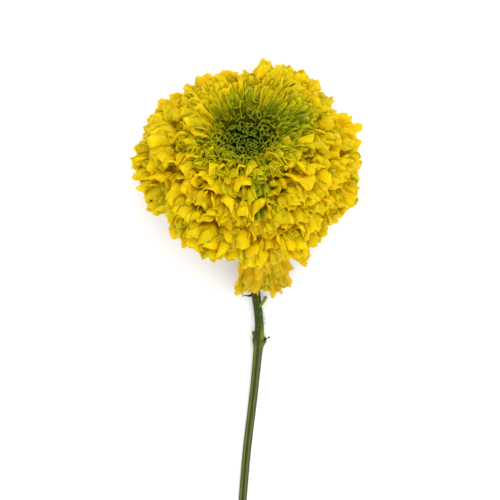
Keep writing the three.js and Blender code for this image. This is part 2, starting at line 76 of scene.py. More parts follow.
# Where the widest florets bulge or fall short: azimuth and spread in degrees, and the change of reach.
LOBES = [
    (140, 11, -0.37), (216, 14, -0.21), (103, 17, -0.27), (80, 9, -0.1), (30, 12, -0.09), (322, 12, -0.04),
    (171, 9, -0.06), (243, 8, 0.07), (60, 9, 0.05), (255, 8, -0.07),
]

# How many there are of each kind.
EYE_COUNT = 165
TRUMPET_COUNT = 270
STRAP_COUNT = 92
RAY_COUNT = 238
UNDER_COUNT = 26
INNER_COUNT = 262
VALLEY_COUNT = 20
HAIR_COUNT = 620

# The floret numbers that some kinds start at, so that their draws differ from those of the others.
LOOSE_FROM = 500
INNER_FROM = 700
VALLEY_FROM = 900
STRAP_FROM = 1100

# The old petals that hang in front, from the bloom's middle and the surface, in mm: across, along and
# height of their tips, half width, the same place of their roots, ruffle, waves, and how far their ends
# curl down. First comes the tuft over the stem's top, then two petals at its right, three that drape
# behind it and four that fill the near rim.
HANGING_PETALS = np.array([
    (0.4, -52.6, 14.5, 5.5, 2.6, -24, 35.5, 0.6, 0.6, 0.5),
    (-2.4, -53.8, 13.5, 1.8, 1.0, -23, 34.0, 0.4, 0.7, 0.4),
    (5.6, -52.4, 13.0, 4.8, 4.0, -24, 34.0, 0.6, 0.7, 0.5),
    (9.6, -51.8, 13.5, 5.2, 5.0, -24, 34.5, 0.7, 0.7, 0.8),
    (12.6, -53.0, 13.0, 2.4, 6.5, -24, 34.0, 0.5, 0.8, -0.5),
    (13.6, -50.8, 14.0, 5.2, 7.0, -26, 35.0, 0.9, 0.7, -0.8),
    (15.9, -49.6, 14.5, 2.6, 7.5, -28, 35.0, 0.5, 0.8, -0.6),
    (14.4, -44.8, 18.5, 5.0, 8.0, -28, 36.5, 0.9, 0.8, -1.0),
    (9.8, -44.0, 23.0, 5.8, 6.5, -27, 38.5, 0.6, 0.7, -1.4),
    (7.0, -42.8, 27.0, 2.8, 6.0, -26, 41.0, 0.5, 0.6, 0.8),
    (25.8, -38.3, 15.5, 3.4, 8.0, -30, 35.0, 0.8, 1.0, 0.2),
    (25.4, -36.6, 17.0, 3.4, 9.0, -27, 36.0, 0.7, 1.0, 0.2),
    (9.5, -41.0, 41.0, 5.6, 8.0, -18, 58.0, 0.9, 0.8, 0.4),
    (4.0, -41.6, 38.0, 5.0, 5.5, -19, 55.0, 1.1, 0.9, 0.4),
    (15.0, -39.6, 41.0, 5.0, 11.0, -18, 57.0, 1.1, 0.9, 0.4),
    (1.0, -26.5, 63.5, 4.6, 0.5, -10, 60.0, 0.9, 1.2, 0.4),
    (7.5, -30.0, 61.0, 4.8, 4.5, -14, 61.0, 0.9, 1.2, 0.4),
    (-13.5, -20.5, 64.0, 4.6, -9.0, -6, 58.0, 1.0, 1.3, 0.5),
    (-6.5, -27.0, 62.5, 4.6, -4.0, -12, 60.0, 1.0, 1.3, 0.5),
])
TUFT_COUNT = 10

# The petals that the bloom lies on: tips across and along, half width, and how far across their roots are.
RESTING_PETALS = np.array([(-16, 23, 5.5, -11), (-2, 27, 6, -2), (14, 25, 5.5, 9)])
RESTING_ROOT = (9.5, 10.5)

# Petals lower than this are pressed together towards the surface.
SQUASH_HEIGHT = 3.2 * MM
PETAL_THICKNESS = 0.28 * MM
# How far the side edges of a petal swing in and out, against its half width.
SCALLOP = 0.12
# The waves of a ruffle: how many against the coarsest, and how high against the ruffle's height.
RUFFLES = ((1.0, 0.9), (1.9, 0.6), (3.2, 0.42), (5.3, 0.2))
# The folds of a crumpled petal: their wavelength in mm, and their share of the height.
FOLDS = ((7.2, 0.48), (4.6, 0.32), (2.8, 0.2))

# What the look of a petal says, as one value for all petals or one for each. It gives lengths in mm:
# half_width, and how high or deep its ruffle, frilled margin, pleats, dents, crumple, flared lip, cupped
# hollow, down-turned curl and notched end are. The others are the claw's share of the width, where the
# limb starts along it, how far both are rolled in radians, how many waves it has, how round its end is
# against its half width, how green it is and more so at its base, and how deep its tone is.
LENGTHS = ("half_width", "ruffle", "margin", "pleat", "dent", "crumple", "lip", "hollow", "curl", "notch")
PLAIN_LOOK = {
    "limb_from": 0.35, "margin": 0.3, "pleat": 0.1, "dent": 0.2, "lip": 0.3, "hollow": 0.0,
    "notch": 0.5, "round": 0.3, "tone": 0.0,
}


def draw(index, salt):
    """A fixed draw from 0 to 1 for floret number index; salt tells one use from another."""
    wave = np.sin(index * 12.9898 + salt * 78.233) * 43758.5453
    return wave - np.floor(wave)


def swing(index, salt):
    """A fixed draw from -1 to 1."""
    return 2 * draw(index, salt) - 1


def phase(index, salt):
    """A fixed draw from 0 to a full turn."""
    return 2 * math.pi * draw(index, salt)


def smooth(low, high, value):
    """A smooth step from 0 at low to 1 at high."""
    share = np.clip((value - low) / (high - low), 0, 1)
    return share * share * (3 - 2 * share)


def unit(vectors):
    return vectors / np.maximum(np.linalg.norm(vectors, axis=-1, keepdims=True), 1e-12)


def spline(points, place):
    """Points and directions of a Catmull-Rom line at each place along it, counted in its points."""
    place = np.clip(np.asarray(place, float), 0, len(points) - 1)
    step = np.minimum(place.astype(int), len(points) - 2)
    w = (place - step)[..., None]
    p0 = points[np.maximum(step - 1, 0)]
    p1 = points[step]
    p2 = points[step + 1]
    p3 = points[np.minimum(step + 2, len(points) - 1)]
    v1 = (p2 - p0) / 2
    v2 = (p3 - p1) / 2
    cubic = 2 * p1 - 2 * p2 + v1 + v2
    square = -3 * p1 + 3 * p2 - 2 * v1 - v2
    return ((cubic * w + square) * w + v1) * w + p1, unit((3 * cubic * w + 2 * square) * w + v1)


def place_florets(count, from_step, to_step, crowding=0.0):
    """Spreads florets by area over part of the outline, turning by the golden angle.

    crowding says how much closer they stand at the start of that part than further out.
    """
    samples = np.linspace(from_step, to_step, 400)
    points, _ = spline(TIP_OUTLINE, samples)
    steps = np.linalg.norm(np.diff(points, axis=0), axis=1) * (points[1:, 0] + points[:-1, 0]) / 2
    steps = steps * (1 + crowding * (1 - smooth(from_step, from_step + 1.5, samples[1:])))
    area = np.concatenate([[0], np.cumsum(steps)])
    index = np.arange(count)
    step = np.interp((index + 0.5) / count * area[-1], area, samples)
    return index, step, (step - from_step) / (to_step - from_step), index * GOLDEN_ANGLE


def near_azimuth(azimuth, middle, spread):
    """How near each azimuth is to a middle, from 1 there to 0 far off; middle and spread are in degrees."""
    away = (np.degrees(azimuth) - middle + 180) % 360 - 180
    return np.exp(-(away / spread) ** 2)


def lobe_reach(azimuth, outwardness):
    """How far the dome reaches at each azimuth, against its plain outline."""
    reach = np.ones_like(azimuth)
    for middle, spread, change in LOBES:
        reach = reach + outwardness * change * near_azimuth(azimuth, middle, spread)
    return reach


def round_axis(azimuth):
    """The directions straight out from the bloom's axis, and round it."""
    cos, sin, zero = np.cos(azimuth), np.sin(azimuth), np.zeros_like(azimuth)
    return np.stack([cos, sin, zero], -1), np.stack([-sin, cos, zero], -1)


def turned_outline(outline, step, azimuth):
    """The points of an outline at each step along it, turned round the bloom's axis."""
    point, _ = spline(outline, step)
    radial, _ = round_axis(azimuth)
    return radial * point[:, :1] + UP * point[:, 1:]


def tip_at(step, azimuth, reach):
    return turned_outline(TIP_OUTLINE, step, azimuth) * reach[:, None]


def root_at(roots, outwardness, azimuth):
    return turned_outline(roots, outwardness * (len(roots) - 1), azimuth)


def end_direction(step, azimuth, more_lean):
    """The direction that each floret's end points in; more_lean is in degrees."""
    radial, _ = round_axis(azimuth)
    lean = np.radians(np.interp(step, np.arange(len(END_LEAN)), END_LEAN) + more_lean)[:, None]
    return radial * np.sin(lean) + UP * np.cos(lean)


def turn_about(vectors, axes, angles):
    """Turns each vector about its own axis."""
    cos, sin = np.cos(angles)[:, None], np.sin(angles)[:, None]
    lengthwise = np.sum(axes * vectors, -1, keepdims=True)
    return vectors * cos + np.cross(axes, vectors) * sin + axes * lengthwise * (1 - cos)


def crown_lines(roots, outwardness, step, azimuth, reach, lean, limb, turn, push=0.0, shift=0.0):
    """The root, elbow, tip and sideways direction of petals that stand round the bloom's axis.

    lean is how much further their ends lean, in degrees, and limb how long those ends are, in mm. push
    moves the tips on along the ends, and shift round the axis, in mm. turn twists petals about their ends.
    """
    end = end_direction(step, azimuth, lean)
    _, sideways = round_axis(azimuth)
    sizes = (limb, push, shift)
    limb, push, shift = (np.broadcast_to(size, azimuth.shape)[:, None] * MM for size in sizes)
    tip = tip_at(step, azimuth, reach) + end * push + sideways * shift
    return root_at(roots, outwardness, azimuth), tip - end * limb, tip, turn_about(sideways, end, turn)


def to_world(points):
    """From the bloom's own frame to the flower's frame."""
    cos, sin = math.cos(BLOOM_LEAN), math.sin(BLOOM_LEAN)
    x, y, z = points[..., 0], points[..., 1], points[..., 2]
    return np.stack([x, y * cos + z * sin, z * cos - y * sin], -1) + BLOOM_MIDDLE


def to_bloom(across, along, height):
    """From mm across and along from the bloom's middle and up from the surface, to the bloom's frame."""
    cos, sin = math.cos(BLOOM_LEAN), math.sin(BLOOM_LEAN)
    across, along, height = np.broadcast_arrays(across, along, height)
    x, y, z = across * MM, along * MM, height * MM - BLOOM_MIDDLE[2]
    return np.stack([x, y * cos - z * sin, z * cos + y * sin], -1)


def from_middle(points):
    """From mm from the bloom's middle and up from the surface, to the flower's frame, above the surface."""
    points = points + [BLOOM_MIDDLE[0] / MM, BLOOM_MIDDLE[1] / MM, 0.0]
    points[..., 2] = np.maximum(points[..., 2], 0.02)
    return points * MM


def press_onto_surface(points):
    """Heights under SQUASH_HEIGHT fade out towards the surface, as soft petals do under the bloom."""
    height = points[..., 2]
    pressed = SQUASH_HEIGHT * np.exp(np.minimum(height, SQUASH_HEIGHT) / SQUASH_HEIGHT - 1)
    height = np.where(height < SQUASH_HEIGHT, pressed, height)
    return np.concatenate([points[..., :2], height[..., None]], -1)


def make_piece(name, points, faces, attributes, material, slot, *nodes):
    """A smooth mesh with float attributes on its points, which stands for CAD nodes."""
    mesh = bpy.data.meshes.new(name)
    mesh.vertices.add(points.size // 3)
    mesh.vertices.foreach_set("co", points.astype(np.float32).ravel())
    mesh.loops.add(faces.size)
    mesh.loops.foreach_set("vertex_index", faces.ravel().astype(np.int32))
    mesh.polygons.add(len(faces))
    mesh.polygons.foreach_set("loop_start", np.arange(len(faces), dtype=np.int32) * faces.shape[1])
    mesh.update(calc_edges=True)
    mesh.polygons.foreach_set("use_smooth", np.ones(len(faces), bool))
    for key, values in attributes.items():
        layer = mesh.attributes.new(key, "FLOAT", "POINT")
        values = np.broadcast_to(values, points.shape[:-1])
        layer.data.foreach_set("value", values.astype(np.float32).ravel())
    mesh.validate()
    mesh.materials.append(material)
    piece = bpy.data.objects.new(name, mesh)
    bpy.context.scene.collection.objects.link(piece)
    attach(piece, "root")
    if nodes:
        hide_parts(*nodes)


def sheet_faces(rows, columns):
    """The faces of one closed thin petal: its front grid, its back grid and the rim between them."""
    grid = np.arange(rows * columns).reshape(rows, columns)
    quads = np.stack([grid[:-1, :-1], grid[:-1, 1:], grid[1:, 1:], grid[1:, :-1]], -1).reshape(-1, 4)
    back = quads[:, ::-1] + rows * columns
    rim = np.concatenate([grid[0, :-1], grid[:-1, -1], grid[-1, :0:-1], grid[:0:-1, 0]])
    after = np.roll(rim, -1)
    edge = np.stack([after, rim, rim + rows * columns, after + rows * columns], -1)
    return np.concatenate([quads, back, edge])


def ring_faces(rings, sides):
    """The faces of a closed tube of rings, whose two ends are closed by strips of four-sided faces."""
    ring, side = np.meshgrid(np.arange(rings - 1), np.arange(sides), indexing="ij")
    low, high = ring * sides, (ring + 1) * sides
    after = (side + 1) % sides
    walls = np.stack([low + side, low + after, high + after, high + side], -1).reshape(-1, 4)
    strip = np.arange(sides // 2 - 1)
    end = np.stack([strip, strip + 1, sides - 2 - strip, sides - 1 - strip], -1)
    return np.concatenate([walls, end[:, ::-1], end + (rings - 1) * sides])


def repeat_faces(faces, points_each, count):
    return (np.arange(count)[:, None, None] * points_each + faces[None]).reshape(-1, faces.shape[1])


def round_angles(sides):
    return (np.arange(sides) * 2 * math.pi / sides)[None]


def middle_line(root, elbow, tip, t):
    """Points and directions of the bent line from root by elbow to tip."""
    points = root * (1 - t) ** 2 + 2 * elbow * t * (1 - t) + tip * t ** 2
    return points, unit(2 * (1 - t) * (elbow - root) + 2 * t * (tip - elbow))


def creases(number, across, along):
    """Sharp folds that cross each other, as heights up to 1; across and along are in metres."""
    heights = 0.0
    for k, (wavelength, share) in enumerate(FOLDS):
        angle = math.pi * draw(number, 71 + k)
        start = phase(number, 75 + k)
        place = (across * np.cos(angle) + along * np.sin(angle)) / (wavelength * MM)
        bend = 0.9 * np.sin(1.3 * place + 2 * start)
        heights = heights + share * np.arcsin(0.97 * np.sin(2 * math.pi * place + start + bend)) / 1.33
    return heights


def petals(name, lines, look, index, kind, chosen=slice(None), rows=19, columns=21):
    """The chosen petals as closed thin ruffled sheets along bent middle lines given in the bloom's frame.

    lines holds each petal's root, elbow, tip and sideways direction, and kind its material, slot and node.
    In the sheets t runs from the root to the tip, and u from one side to the other.
    """
    root, elbow, tip, sideways = (values[chosen][:, None] for values in lines)
    number = index[chosen][:, None, None]
    t = 1 - (1 - np.linspace(0, 1, rows)[None, :, None]) ** 1.4
    u = np.linspace(-1, 1, columns)[None, None, :]
    middle, along = middle_line(root, elbow, tip, t)
    face = unit(np.cross(np.broadcast_to(sideways, along.shape), along))
    side = np.cross(along, face)
    length = np.linalg.norm(tip - elbow, axis=-1, keepdims=True) * 2

    def its(key):
        values = np.broadcast_to(look[key], index.shape)[chosen][:, None, None]
        return values * MM if key in LENGTHS else values

    phase1, phase2, phase3 = (phase(number, salt) for salt in (52, 53, 54))
    limb = smooth(its("limb_from"), 0.95, t) ** 0.8
    reach = its("half_width") * (its("claw") + (1 - its("claw")) * limb)
    roll = its("roll_base") * (1 - limb) + its("roll_tip") * limb
    roll = np.where(np.abs(roll) < 1e-3, 1e-3, roll)
    lift = -reach * (1 - np.cos(u * roll)) / roll
    slide = reach * np.sin(u * roll) / roll
    edge = smooth(0.3, 1, t)
    for k, (times, share) in enumerate(RUFFLES):
        way = times * (1 + 0.25 * swing(number, 60 + k))
        skew = 2.5 * times * swing(number, 64 + k)
        wave = math.pi * its("waves") * way * u + skew * t + phase(number, 68 + k)
        height = its("ruffle") * share * edge ** (1 + 0.35 * k)
        lift += height * np.sin(wave)
        slide += 0.45 * height * np.cos(wave)
    margin = np.abs(u) ** 3 * smooth(0.25, 0.8, t)
    lift += its("margin") * margin * np.sin(9 * t + phase2 * np.sign(u))
    scallop = np.sin(10 * t + phase1 + 1.7 * np.sign(u)) + 0.5 * np.sin(21 * t + phase3 * np.sign(u))
    slide += SCALLOP * reach * np.sign(u) * margin * scallop
    lift += its("pleat") * limb * np.sin(math.pi * 5 * u + 1.2 * np.sin(5 * t) + phase2)
    lift += its("dent") * limb * np.sin(2.4 * u + 6 * t + phase3) * np.sin(7 * t + phase1)
    lift -= its("hollow") * np.sin(math.pi * smooth(0.25, 1, t))
    lift += its("curl") * smooth(0.72, 1, t) ** 1.5
    lip = np.maximum(smooth(0.84, 1.0, t), smooth(0.62, 1.0, np.abs(u)) * smooth(0.5, 0.8, t))
    lift += its("lip") * lip
    lift += its("crumple") * edge * creases(number, u * its("half_width"), t * length)
    crenate = 0.75 * np.sin(math.pi * 1.9 * u + phase1) + 0.45 * np.sin(math.pi * 5.3 * u + phase3)
    backset = its("notch") * smooth(0.7, 1, t) * crenate
    backset = backset - its("round") * its("half_width") * (1 - np.sqrt(1 - 0.97 * u * u)) * limb
    surface = (
        middle[:, :, None]
        + side[:, :, None] * slide[..., None]
        + face[:, :, None] * lift[..., None]
        + along[:, :, None] * backset[..., None]
    )
    normal = unit(np.cross(np.gradient(surface, axis=2), np.gradient(surface, axis=1)))
    half = normal * PETAL_THICKNESS / 2
    both = press_onto_surface(to_world(np.stack([surface + half, surface - half], 1)))
    green = its("green") + its("green_base") * (1 - t) ** 1.5
    # along picks the colour from base to tip, so it carries the painted shade at the base; flared lips count
    # as nearer the tip.
    attributes = {
        "along": (0.8 * t + 0.2 * lip)[:, None],
        "across": u[:, None],
        "tone": (draw(number, 56) * 0.9 + its("tone"))[:, None],
        "green": np.clip(green, 0, 1)[:, None],
    }
    faces = repeat_faces(sheet_faces(rows, columns), rows * columns * 2, len(number))
    make_piece(name, both, faces, attributes, *kind)


class Skin:
    """A material in the making: its methods add shader nodes, and give the socket of what they make."""

    def __init__(self, name):
        self.material = bpy.data.materials.new(name)
        self.material.use_nodes = True
        self.tree = self.material.node_tree
        self.shader = self.tree.nodes["Principled BSDF"]

    def add(self, kind, **values):
        """A node with its sockets and its other values set."""
        node = self.tree.nodes.new(kind)
        for key, value in values.items():
            if key in node.inputs:
                node.inputs[key].default_value = value
            else:
                setattr(node, key, value)
        return node

    def feed(self, socket, value):
        """Links a socket to another one, or sets it to a plain value."""
        if isinstance(value, bpy.types.NodeSocket):
            self.tree.links.new(value, socket)
        elif isinstance(value, tuple) and len(value) == 3 and socket.type == "RGBA":
            socket.default_value = (*value, 1)
        else:
            socket.default_value = value

    def ramp(self, value, stops):
        node = self.add("ShaderNodeValToRGB")
        elements = node.color_ramp.elements
        while len(elements) < len(stops):
            elements.new(0.5)
        for element, (place, colour) in zip(elements, stops):
            element.position = place
            element.color = (*colour, 1)
        self.feed(node.inputs[0], value)
        return node.outputs[0]

    def mix(self, factor, first, second, blend="MIX"):
        node = self.add("ShaderNodeMix", data_type="RGBA", blend_type=blend)
        for place, value in ((0, factor), (6, first), (7, second)):
            self.feed(node.inputs[place], value)
        return node.outputs[2]

    def shade(self, factor, colour, by):
        return self.mix(factor, colour, by, "MULTIPLY")

    def calculate(self, operation, first, second=0.0):
        node = self.add("ShaderNodeMath", operation=operation)
        self.feed(node.inputs[0], first)
        self.feed(node.inputs[1], second)
        return node.outputs[0]

    def attribute(self, key):
        return self.add("ShaderNodeAttribute", attribute_name=key).outputs["Fac"]

    def place_by(self, **factors):
        """A place whose coordinates are attributes, each times its factor."""
        node = self.add("ShaderNodeCombineXYZ")
        for socket, (key, factor) in zip(node.inputs, factors.items()):
            self.feed(socket, self.calculate("MULTIPLY", self.attribute(key), factor))
        return node.outputs[0]

    def noise(self, place, scale, detail=3.0, roughness=0.6):
        """Noise from 0 to 1; place is a vector socket, or None for the object's own coordinates."""
        node = self.add("ShaderNodeTexNoise", Scale=scale, Detail=detail, Roughness=roughness)
        if place is None:
            place = self.add("ShaderNodeTexCoord").outputs["Object"]
        self.feed(node.inputs["Vector"], place)
        return node.outputs["Fac"]

    def bumpy(self, fine, coarse, share):
        """The height of the coarse noise with a share of the fine one."""
        return self.calculate("ADD", coarse, self.calculate("MULTIPLY", fine, share))

    def finish(self, colour, height, bump, rough, rough_by, specular):
        """The material with its colour, strength and distance of its bump, least and most roughness."""
        shader = self.shader.inputs
        self.feed(shader["Base Color"], colour)
        node = self.add("ShaderNodeBump", Strength=bump[0], Distance=bump[1])
        self.feed(node.inputs["Height"], height)
        self.feed(shader["Normal"], node.outputs[0])
        least, most = rough
        self.feed(shader["Roughness"], self.ramp(rough_by, [(0.25, (least,) * 3), (0.75, (most,) * 3)]))
        shader["Specular IOR Level"].default_value = specular
        return self.material


# Colours of petals at their base, middle and tip; the darker bases are partly painted shade for the depths.
YELLOWS = ((0.78, 0.425, 0.001), (0.755, 0.46, 0.0015), (0.765, 0.51, 0.002))
YELLOW_GREENS = ((0.16, 0.17, 0.0), (0.34, 0.33, 0.0), (0.52, 0.46, 0.001))
GREENS = ((0.025, 0.045, 0.001), (0.12, 0.155, 0.002), (0.27, 0.29, 0.003))
DARK_GREENS = ((0.002, 0.006, 0.001), (0.024, 0.048, 0.002), (0.15, 0.205, 0.008))
# Where along the petals those colours are.
COLOUR_PLACES = (0.3, 0.68, 0.92)
WHITE = (1, 1, 1)


def petal_material(name, colours, greens, rim):
    """Petal skin: veins along its length, soft patches and a deeper tone where the attribute tone is higher.

    The attribute green leads from colours to greens. rim is how strongly its side edges and end are darkened
    towards brown.
    """
    skin = Skin(name)
    along = skin.attribute("along")
    veins = skin.noise(skin.place_by(across=13.0, along=1.8, tone=37.0), 1.0)
    cells = skin.noise(None, 900.0, 4.0)
    patches = skin.noise(None, 160.0, 2.0, 0.5)
    plain = skin.ramp(along, list(zip(COLOUR_PLACES, colours)))
    green = skin.ramp(along, list(zip(COLOUR_PLACES, greens)))
    colour = skin.mix(skin.attribute("green"), plain, green)
    tone = skin.calculate("MULTIPLY", skin.attribute("tone"), 0.5)
    colour = skin.shade(tone, colour, (0.82, 0.75, 0.55))
    colour = skin.shade(0.6, colour, skin.ramp(veins, [(0.32, (0.78, 0.71, 0.6)), (0.58, WHITE)]))
    colour = skin.shade(0.6, colour, skin.ramp(patches, [(0.34, (0.88, 0.81, 0.72)), (0.62, WHITE)]))
    edge = skin.calculate("MAXIMUM", skin.calculate("ABSOLUTE", skin.attribute("across")), along)
    colour = skin.shade(rim, colour, skin.ramp(edge, [(0.93, WHITE), (1.0, (0.74, 0.64, 0.45))]))
    inputs = skin.shader.inputs
    inputs["Subsurface Weight"].default_value = 0.85
    inputs["Subsurface Radius"].default_value = (1.0, 0.7, 0.05)
    inputs["Subsurface Scale"].default_value = 0.0024
    return skin.finish(colour, skin.bumpy(cells, veins, 0.3), (0.4, 0.0004), (0.42, 0.62), cells, 0.06)


def calyx_material():
    """Calyx skin: green with paler ribs, fine lengthwise fibres and darker glands."""
    skin = Skin("calyx_skin")
    fibres = skin.noise(skin.place_by(across=5.0, along=6.0, tone=9.0), 1.6)
    glands = skin.noise(None, 700.0, 2.0, 0.5)
    colour = skin.ramp(skin.attribute("along"), [
        (0.0, (0.12, 0.16, 0.02)), (0.6, (0.10, 0.15, 0.015)), (1.0, (0.15, 0.19, 0.02)),
    ])
    fibre_shade = skin.ramp(fibres, [(0.3, (0.55, 0.6, 0.5)), (0.6, WHITE), (0.75, (1.0, 1.0, 0.8))])
    colour = skin.shade(0.8, colour, fibre_shade)
    colour = skin.shade(0.6, colour, skin.ramp(glands, [(0.62, WHITE), (0.70, (0.5, 0.38, 0.25))]))
    return skin.finish(colour, fibres, (0.4, 0.0005), (0.45, 0.65), glands, 0.12)


def stem_material():
    """Stem skin: pale ridges and a dark groove below the leaf node, streaked green above it."""
    skin = Skin("stem_skin")
    fibres = skin.noise(skin.place_by(side=5.0, along=22.0, rise=5.0), 1.3, 4.0)
    specks = skin.noise(None, 1500.0, 3.0)
    across = skin.calculate("ADD", skin.calculate("MULTIPLY", skin.attribute("side"), 0.5), 0.5)
    wander = skin.calculate("MULTIPLY", skin.calculate("SUBTRACT", fibres, 0.5), 0.16)
    across = skin.calculate("ADD", across, wander)
    stripes = skin.ramp(across, [
        (0.0, (0.040, 0.055, 0.008)), (0.12, (0.068, 0.080, 0.009)), (0.25, (0.125, 0.145, 0.032)),
        (0.36, (0.065, 0.062, 0.009)), (0.46, (0.027, 0.030, 0.006)), (0.57, (0.036, 0.044, 0.008)),
        (0.66, (0.070, 0.098, 0.022)), (0.80, (0.092, 0.130, 0.034)), (0.92, (0.045, 0.080, 0.012)),
        (1.0, (0.028, 0.050, 0.008)),
    ])
    streaks = skin.ramp(across, [
        (0.0, (0.040, 0.056, 0.008)), (0.3, (0.045, 0.058, 0.007)), (0.48, (0.030, 0.046, 0.006)),
        (0.62, (0.038, 0.076, 0.011)), (0.85, (0.036, 0.070, 0.010)), (1.0, (0.034, 0.065, 0.008)),
    ])
    colour = skin.mix(skin.attribute("below"), streaks, stripes)
    brown = skin.ramp(skin.attribute("along"), [(0.72, (0, 0, 0)), (0.8, (0.55, 0.55, 0.55))])
    colour = skin.mix(brown, colour, (0.07, 0.062, 0.016))
    colour = skin.mix(skin.attribute("fresh"), colour, (0.20, 0.26, 0.02))
    fibre_shade = skin.ramp(fibres, [(0.3, (0.6, 0.6, 0.55)), (0.52, WHITE), (0.75, (1.0, 1.0, 0.9))])
    colour = skin.shade(0.75, colour, fibre_shade)
    # Cut faces are painted almost black: painted shade for the hollow of the cut stems, partly the cut's own
    # dark colour.
    colour = skin.mix(skin.attribute("cut"), colour, (0.014, 0.016, 0.004))
    return skin.finish(colour, skin.bumpy(specks, fibres, 0.25), (0.5, 0.0005), (0.45, 0.65), specks, 0.1)


def plain_plant_material(name, dark, pale, scale, rough):
    """Dry or hairy plant fibre, from dark to pale along each piece, with fine noise."""
    skin = Skin(name)
    grain = skin.noise(None, scale, 4.0)
    colour = skin.ramp(skin.attribute("along"), [(0.0, dark), (1.0, pale)])
    colour = skin.shade(0.7, colour, skin.ramp(grain, [(0.35, (0.55, 0.5, 0.45)), (0.6, WHITE)]))
    return skin.finish(colour, grain, (0.4, 0.0003), (rough, rough + 0.15), grain, 0.3)


# Each kind of piece: its material, its slot and, where all its pieces replace one, its node.
CALYX = (calyx_material(), "calyx", "calyx")
STEM = (stem_material(), "stem", "stem")
HAIR = (plain_plant_material("hair_skin", (0.20, 0.25, 0.10), (0.50, 0.47, 0.38), 2000.0, 0.5), "stem")
WITHERED = (
    plain_plant_material("withered_skin", (0.02, 0.018, 0.013), (0.11, 0.075, 0.045), 1200.0, 0.7),
    "withered",
)
RAY = (petal_material("ray_petal_skin", YELLOWS, YELLOW_GREENS, 0.4), "ray_petal", "ray_florets")
TRUMPET = (
    petal_material("trumpet_petal_skin", YELLOW_GREENS, GREENS, 0.25), "trumpet_petal", "trumpet_florets",
)
EYE = (petal_material("eye_petal_skin", GREENS, DARK_GREENS, 0.0), "eye_petal", "eye_florets")


def ray_petals():
    """The broad ruffled petals, in three pieces from the rim of the eye outwards."""
    index, step, outwardness, azimuth = place_florets(RAY_COUNT, TRUMPET_END, RAY_END, 1.8)
    step = np.clip(step + 0.42 * swing(index, 17), TRUMPET_END, RAY_END)
    inner = 1 - smooth(TRUMPET_END, 5.4, step)
    outer = smooth(5.6, 6.8, step)
    far = near_azimuth(azimuth, FAR_SIDE, 62)
    valley = near_azimuth(azimuth, VALLEY, 8) * (1 - smooth(5.3, 6.3, step))
    right = 0.75 * near_azimuth(azimuth, RIGHT_SIDE, 38) * (1 - smooth(4.9, 6.0, step))
    azimuth = azimuth + 0.09 * swing(index, 1)
    reach = lobe_reach(azimuth, np.minimum(1, 2 * outwardness)) - 0.12 * valley
    lines = crown_lines(
        RAY_ROOTS, outwardness, step, azimuth, reach + 0.035 * swing(index, 13) * (1 - inner),
        lean=(28 - 18 * outer) * swing(index, 2) + 28 * valley,
        limb=10 + 3 * draw(index, 3),
        turn=(0.9 - 0.6 * outer) * swing(index, 5),
        push=1.4 * swing(index, 4),
        shift=2.6 * swing(index, 14),
    )
    width = (7.0 + 1.7 * swing(index, 6) - 2.0 * inner) * (1 - 0.72 * valley)
    # Painted shade: some petals on the shaded lower left are tinged greener.
    shade_side = near_azimuth(azimuth, SHADE_SIDE, 34) * smooth(0.35, 0.7, outwardness)
    look = dict(
        PLAIN_LOOK,
        limb_from=0.22, roll_base=1.6, margin=0.5, pleat=0.17, dent=0.5, crumple=1.5, notch=1.3, round=1.05,
        half_width=width * (1 - 0.3 * near_azimuth(azimuth, VALLEY + 1, 14)),
        claw=0.17 + 0.12 * inner,
        roll_tip=0.3 + 0.5 * swing(index, 9) + 0.4 * inner,
        waves=1.3 + 1.2 * draw(index, 7),
        ruffle=(1.35 + 1.1 * draw(index, 8)) * (1 - 0.4 * far) * (1 - 0.5 * inner) * (1 - 0.6 * valley),
        lip=1.6 + 0.8 * swing(index, 16),
        hollow=-1.3 + 2.4 * draw(index, 18),
        curl=-0.5 + 1.1 * swing(index, 10),
        green=0.85 * inner ** 1.4 + 0.8 * valley + 0.3 * shade_side * draw(index, 12) + right,
        green_base=0.1 + 0.3 * inner,
    )
    parted = near_azimuth(azimuth, VALLEY + 1, 8) * smooth(5.2, 5.6, step) > 0.5
    parted = parted | ((step < NEAR_TRUMPET_END) & (near_azimuth(azimuth, NEAR_SIDE, 60) > 0.5))
    for part, low, high in (("inner", 0, 0.33), ("middle", 0.33, 0.66), ("outer", 0.66, 1.01)):
        chosen = (outwardness >= low) & (outwardness < high) & ~parted
        petals("ray_petals_" + part, lines, look, index, RAY, chosen, columns=25)


def inner_layer():
    """Shorter petals deeper between the ray petals, which close the view to the middle of the bloom."""
    index, step, outwardness, azimuth = place_florets(INNER_COUNT, TRUMPET_END - 0.2, 9.6, 1.5)
    index = index + INNER_FROM
    azimuth = azimuth + 1.9 + 0.1 * swing(index, 1)
    reach = 0.958 * lobe_reach(azimuth, np.minimum(1, 2 * outwardness)) + 0.02 * swing(index, 13)
    lines = crown_lines(
        RAY_ROOTS, outwardness * 0.9, step, azimuth, reach,
        lean=-8 + 22 * swing(index, 2),
        limb=6,
        turn=0.9 * swing(index, 5),
    )
    valley = 0.7 * near_azimuth(azimuth, VALLEY, 10) * (step < 6.2)
    right = 0.8 * near_azimuth(azimuth, RIGHT_SIDE, 45) * (1 - smooth(4.6, 5.2, step))
    look = dict(
        PLAIN_LOOK,
        claw=0.3, limb_from=0.2, roll_base=1.8, ruffle=1.3, dent=0.4, crumple=0.9, lip=0.8, round=0.4,
        green_base=0.1, tone=0.1,
        half_width=4.5 + 1.6 * draw(index, 6),
        roll_tip=0.9 * swing(index, 9),
        waves=1.4 + 1.0 * draw(index, 7),
        curl=1.2 * swing(index, 10),
        green=0.7 * (1 - smooth(0.0, 0.2, outwardness)) + valley + right,
    )
    petals("ray_petals_inner_layer", lines, look, index, RAY, rows=11, columns=13)


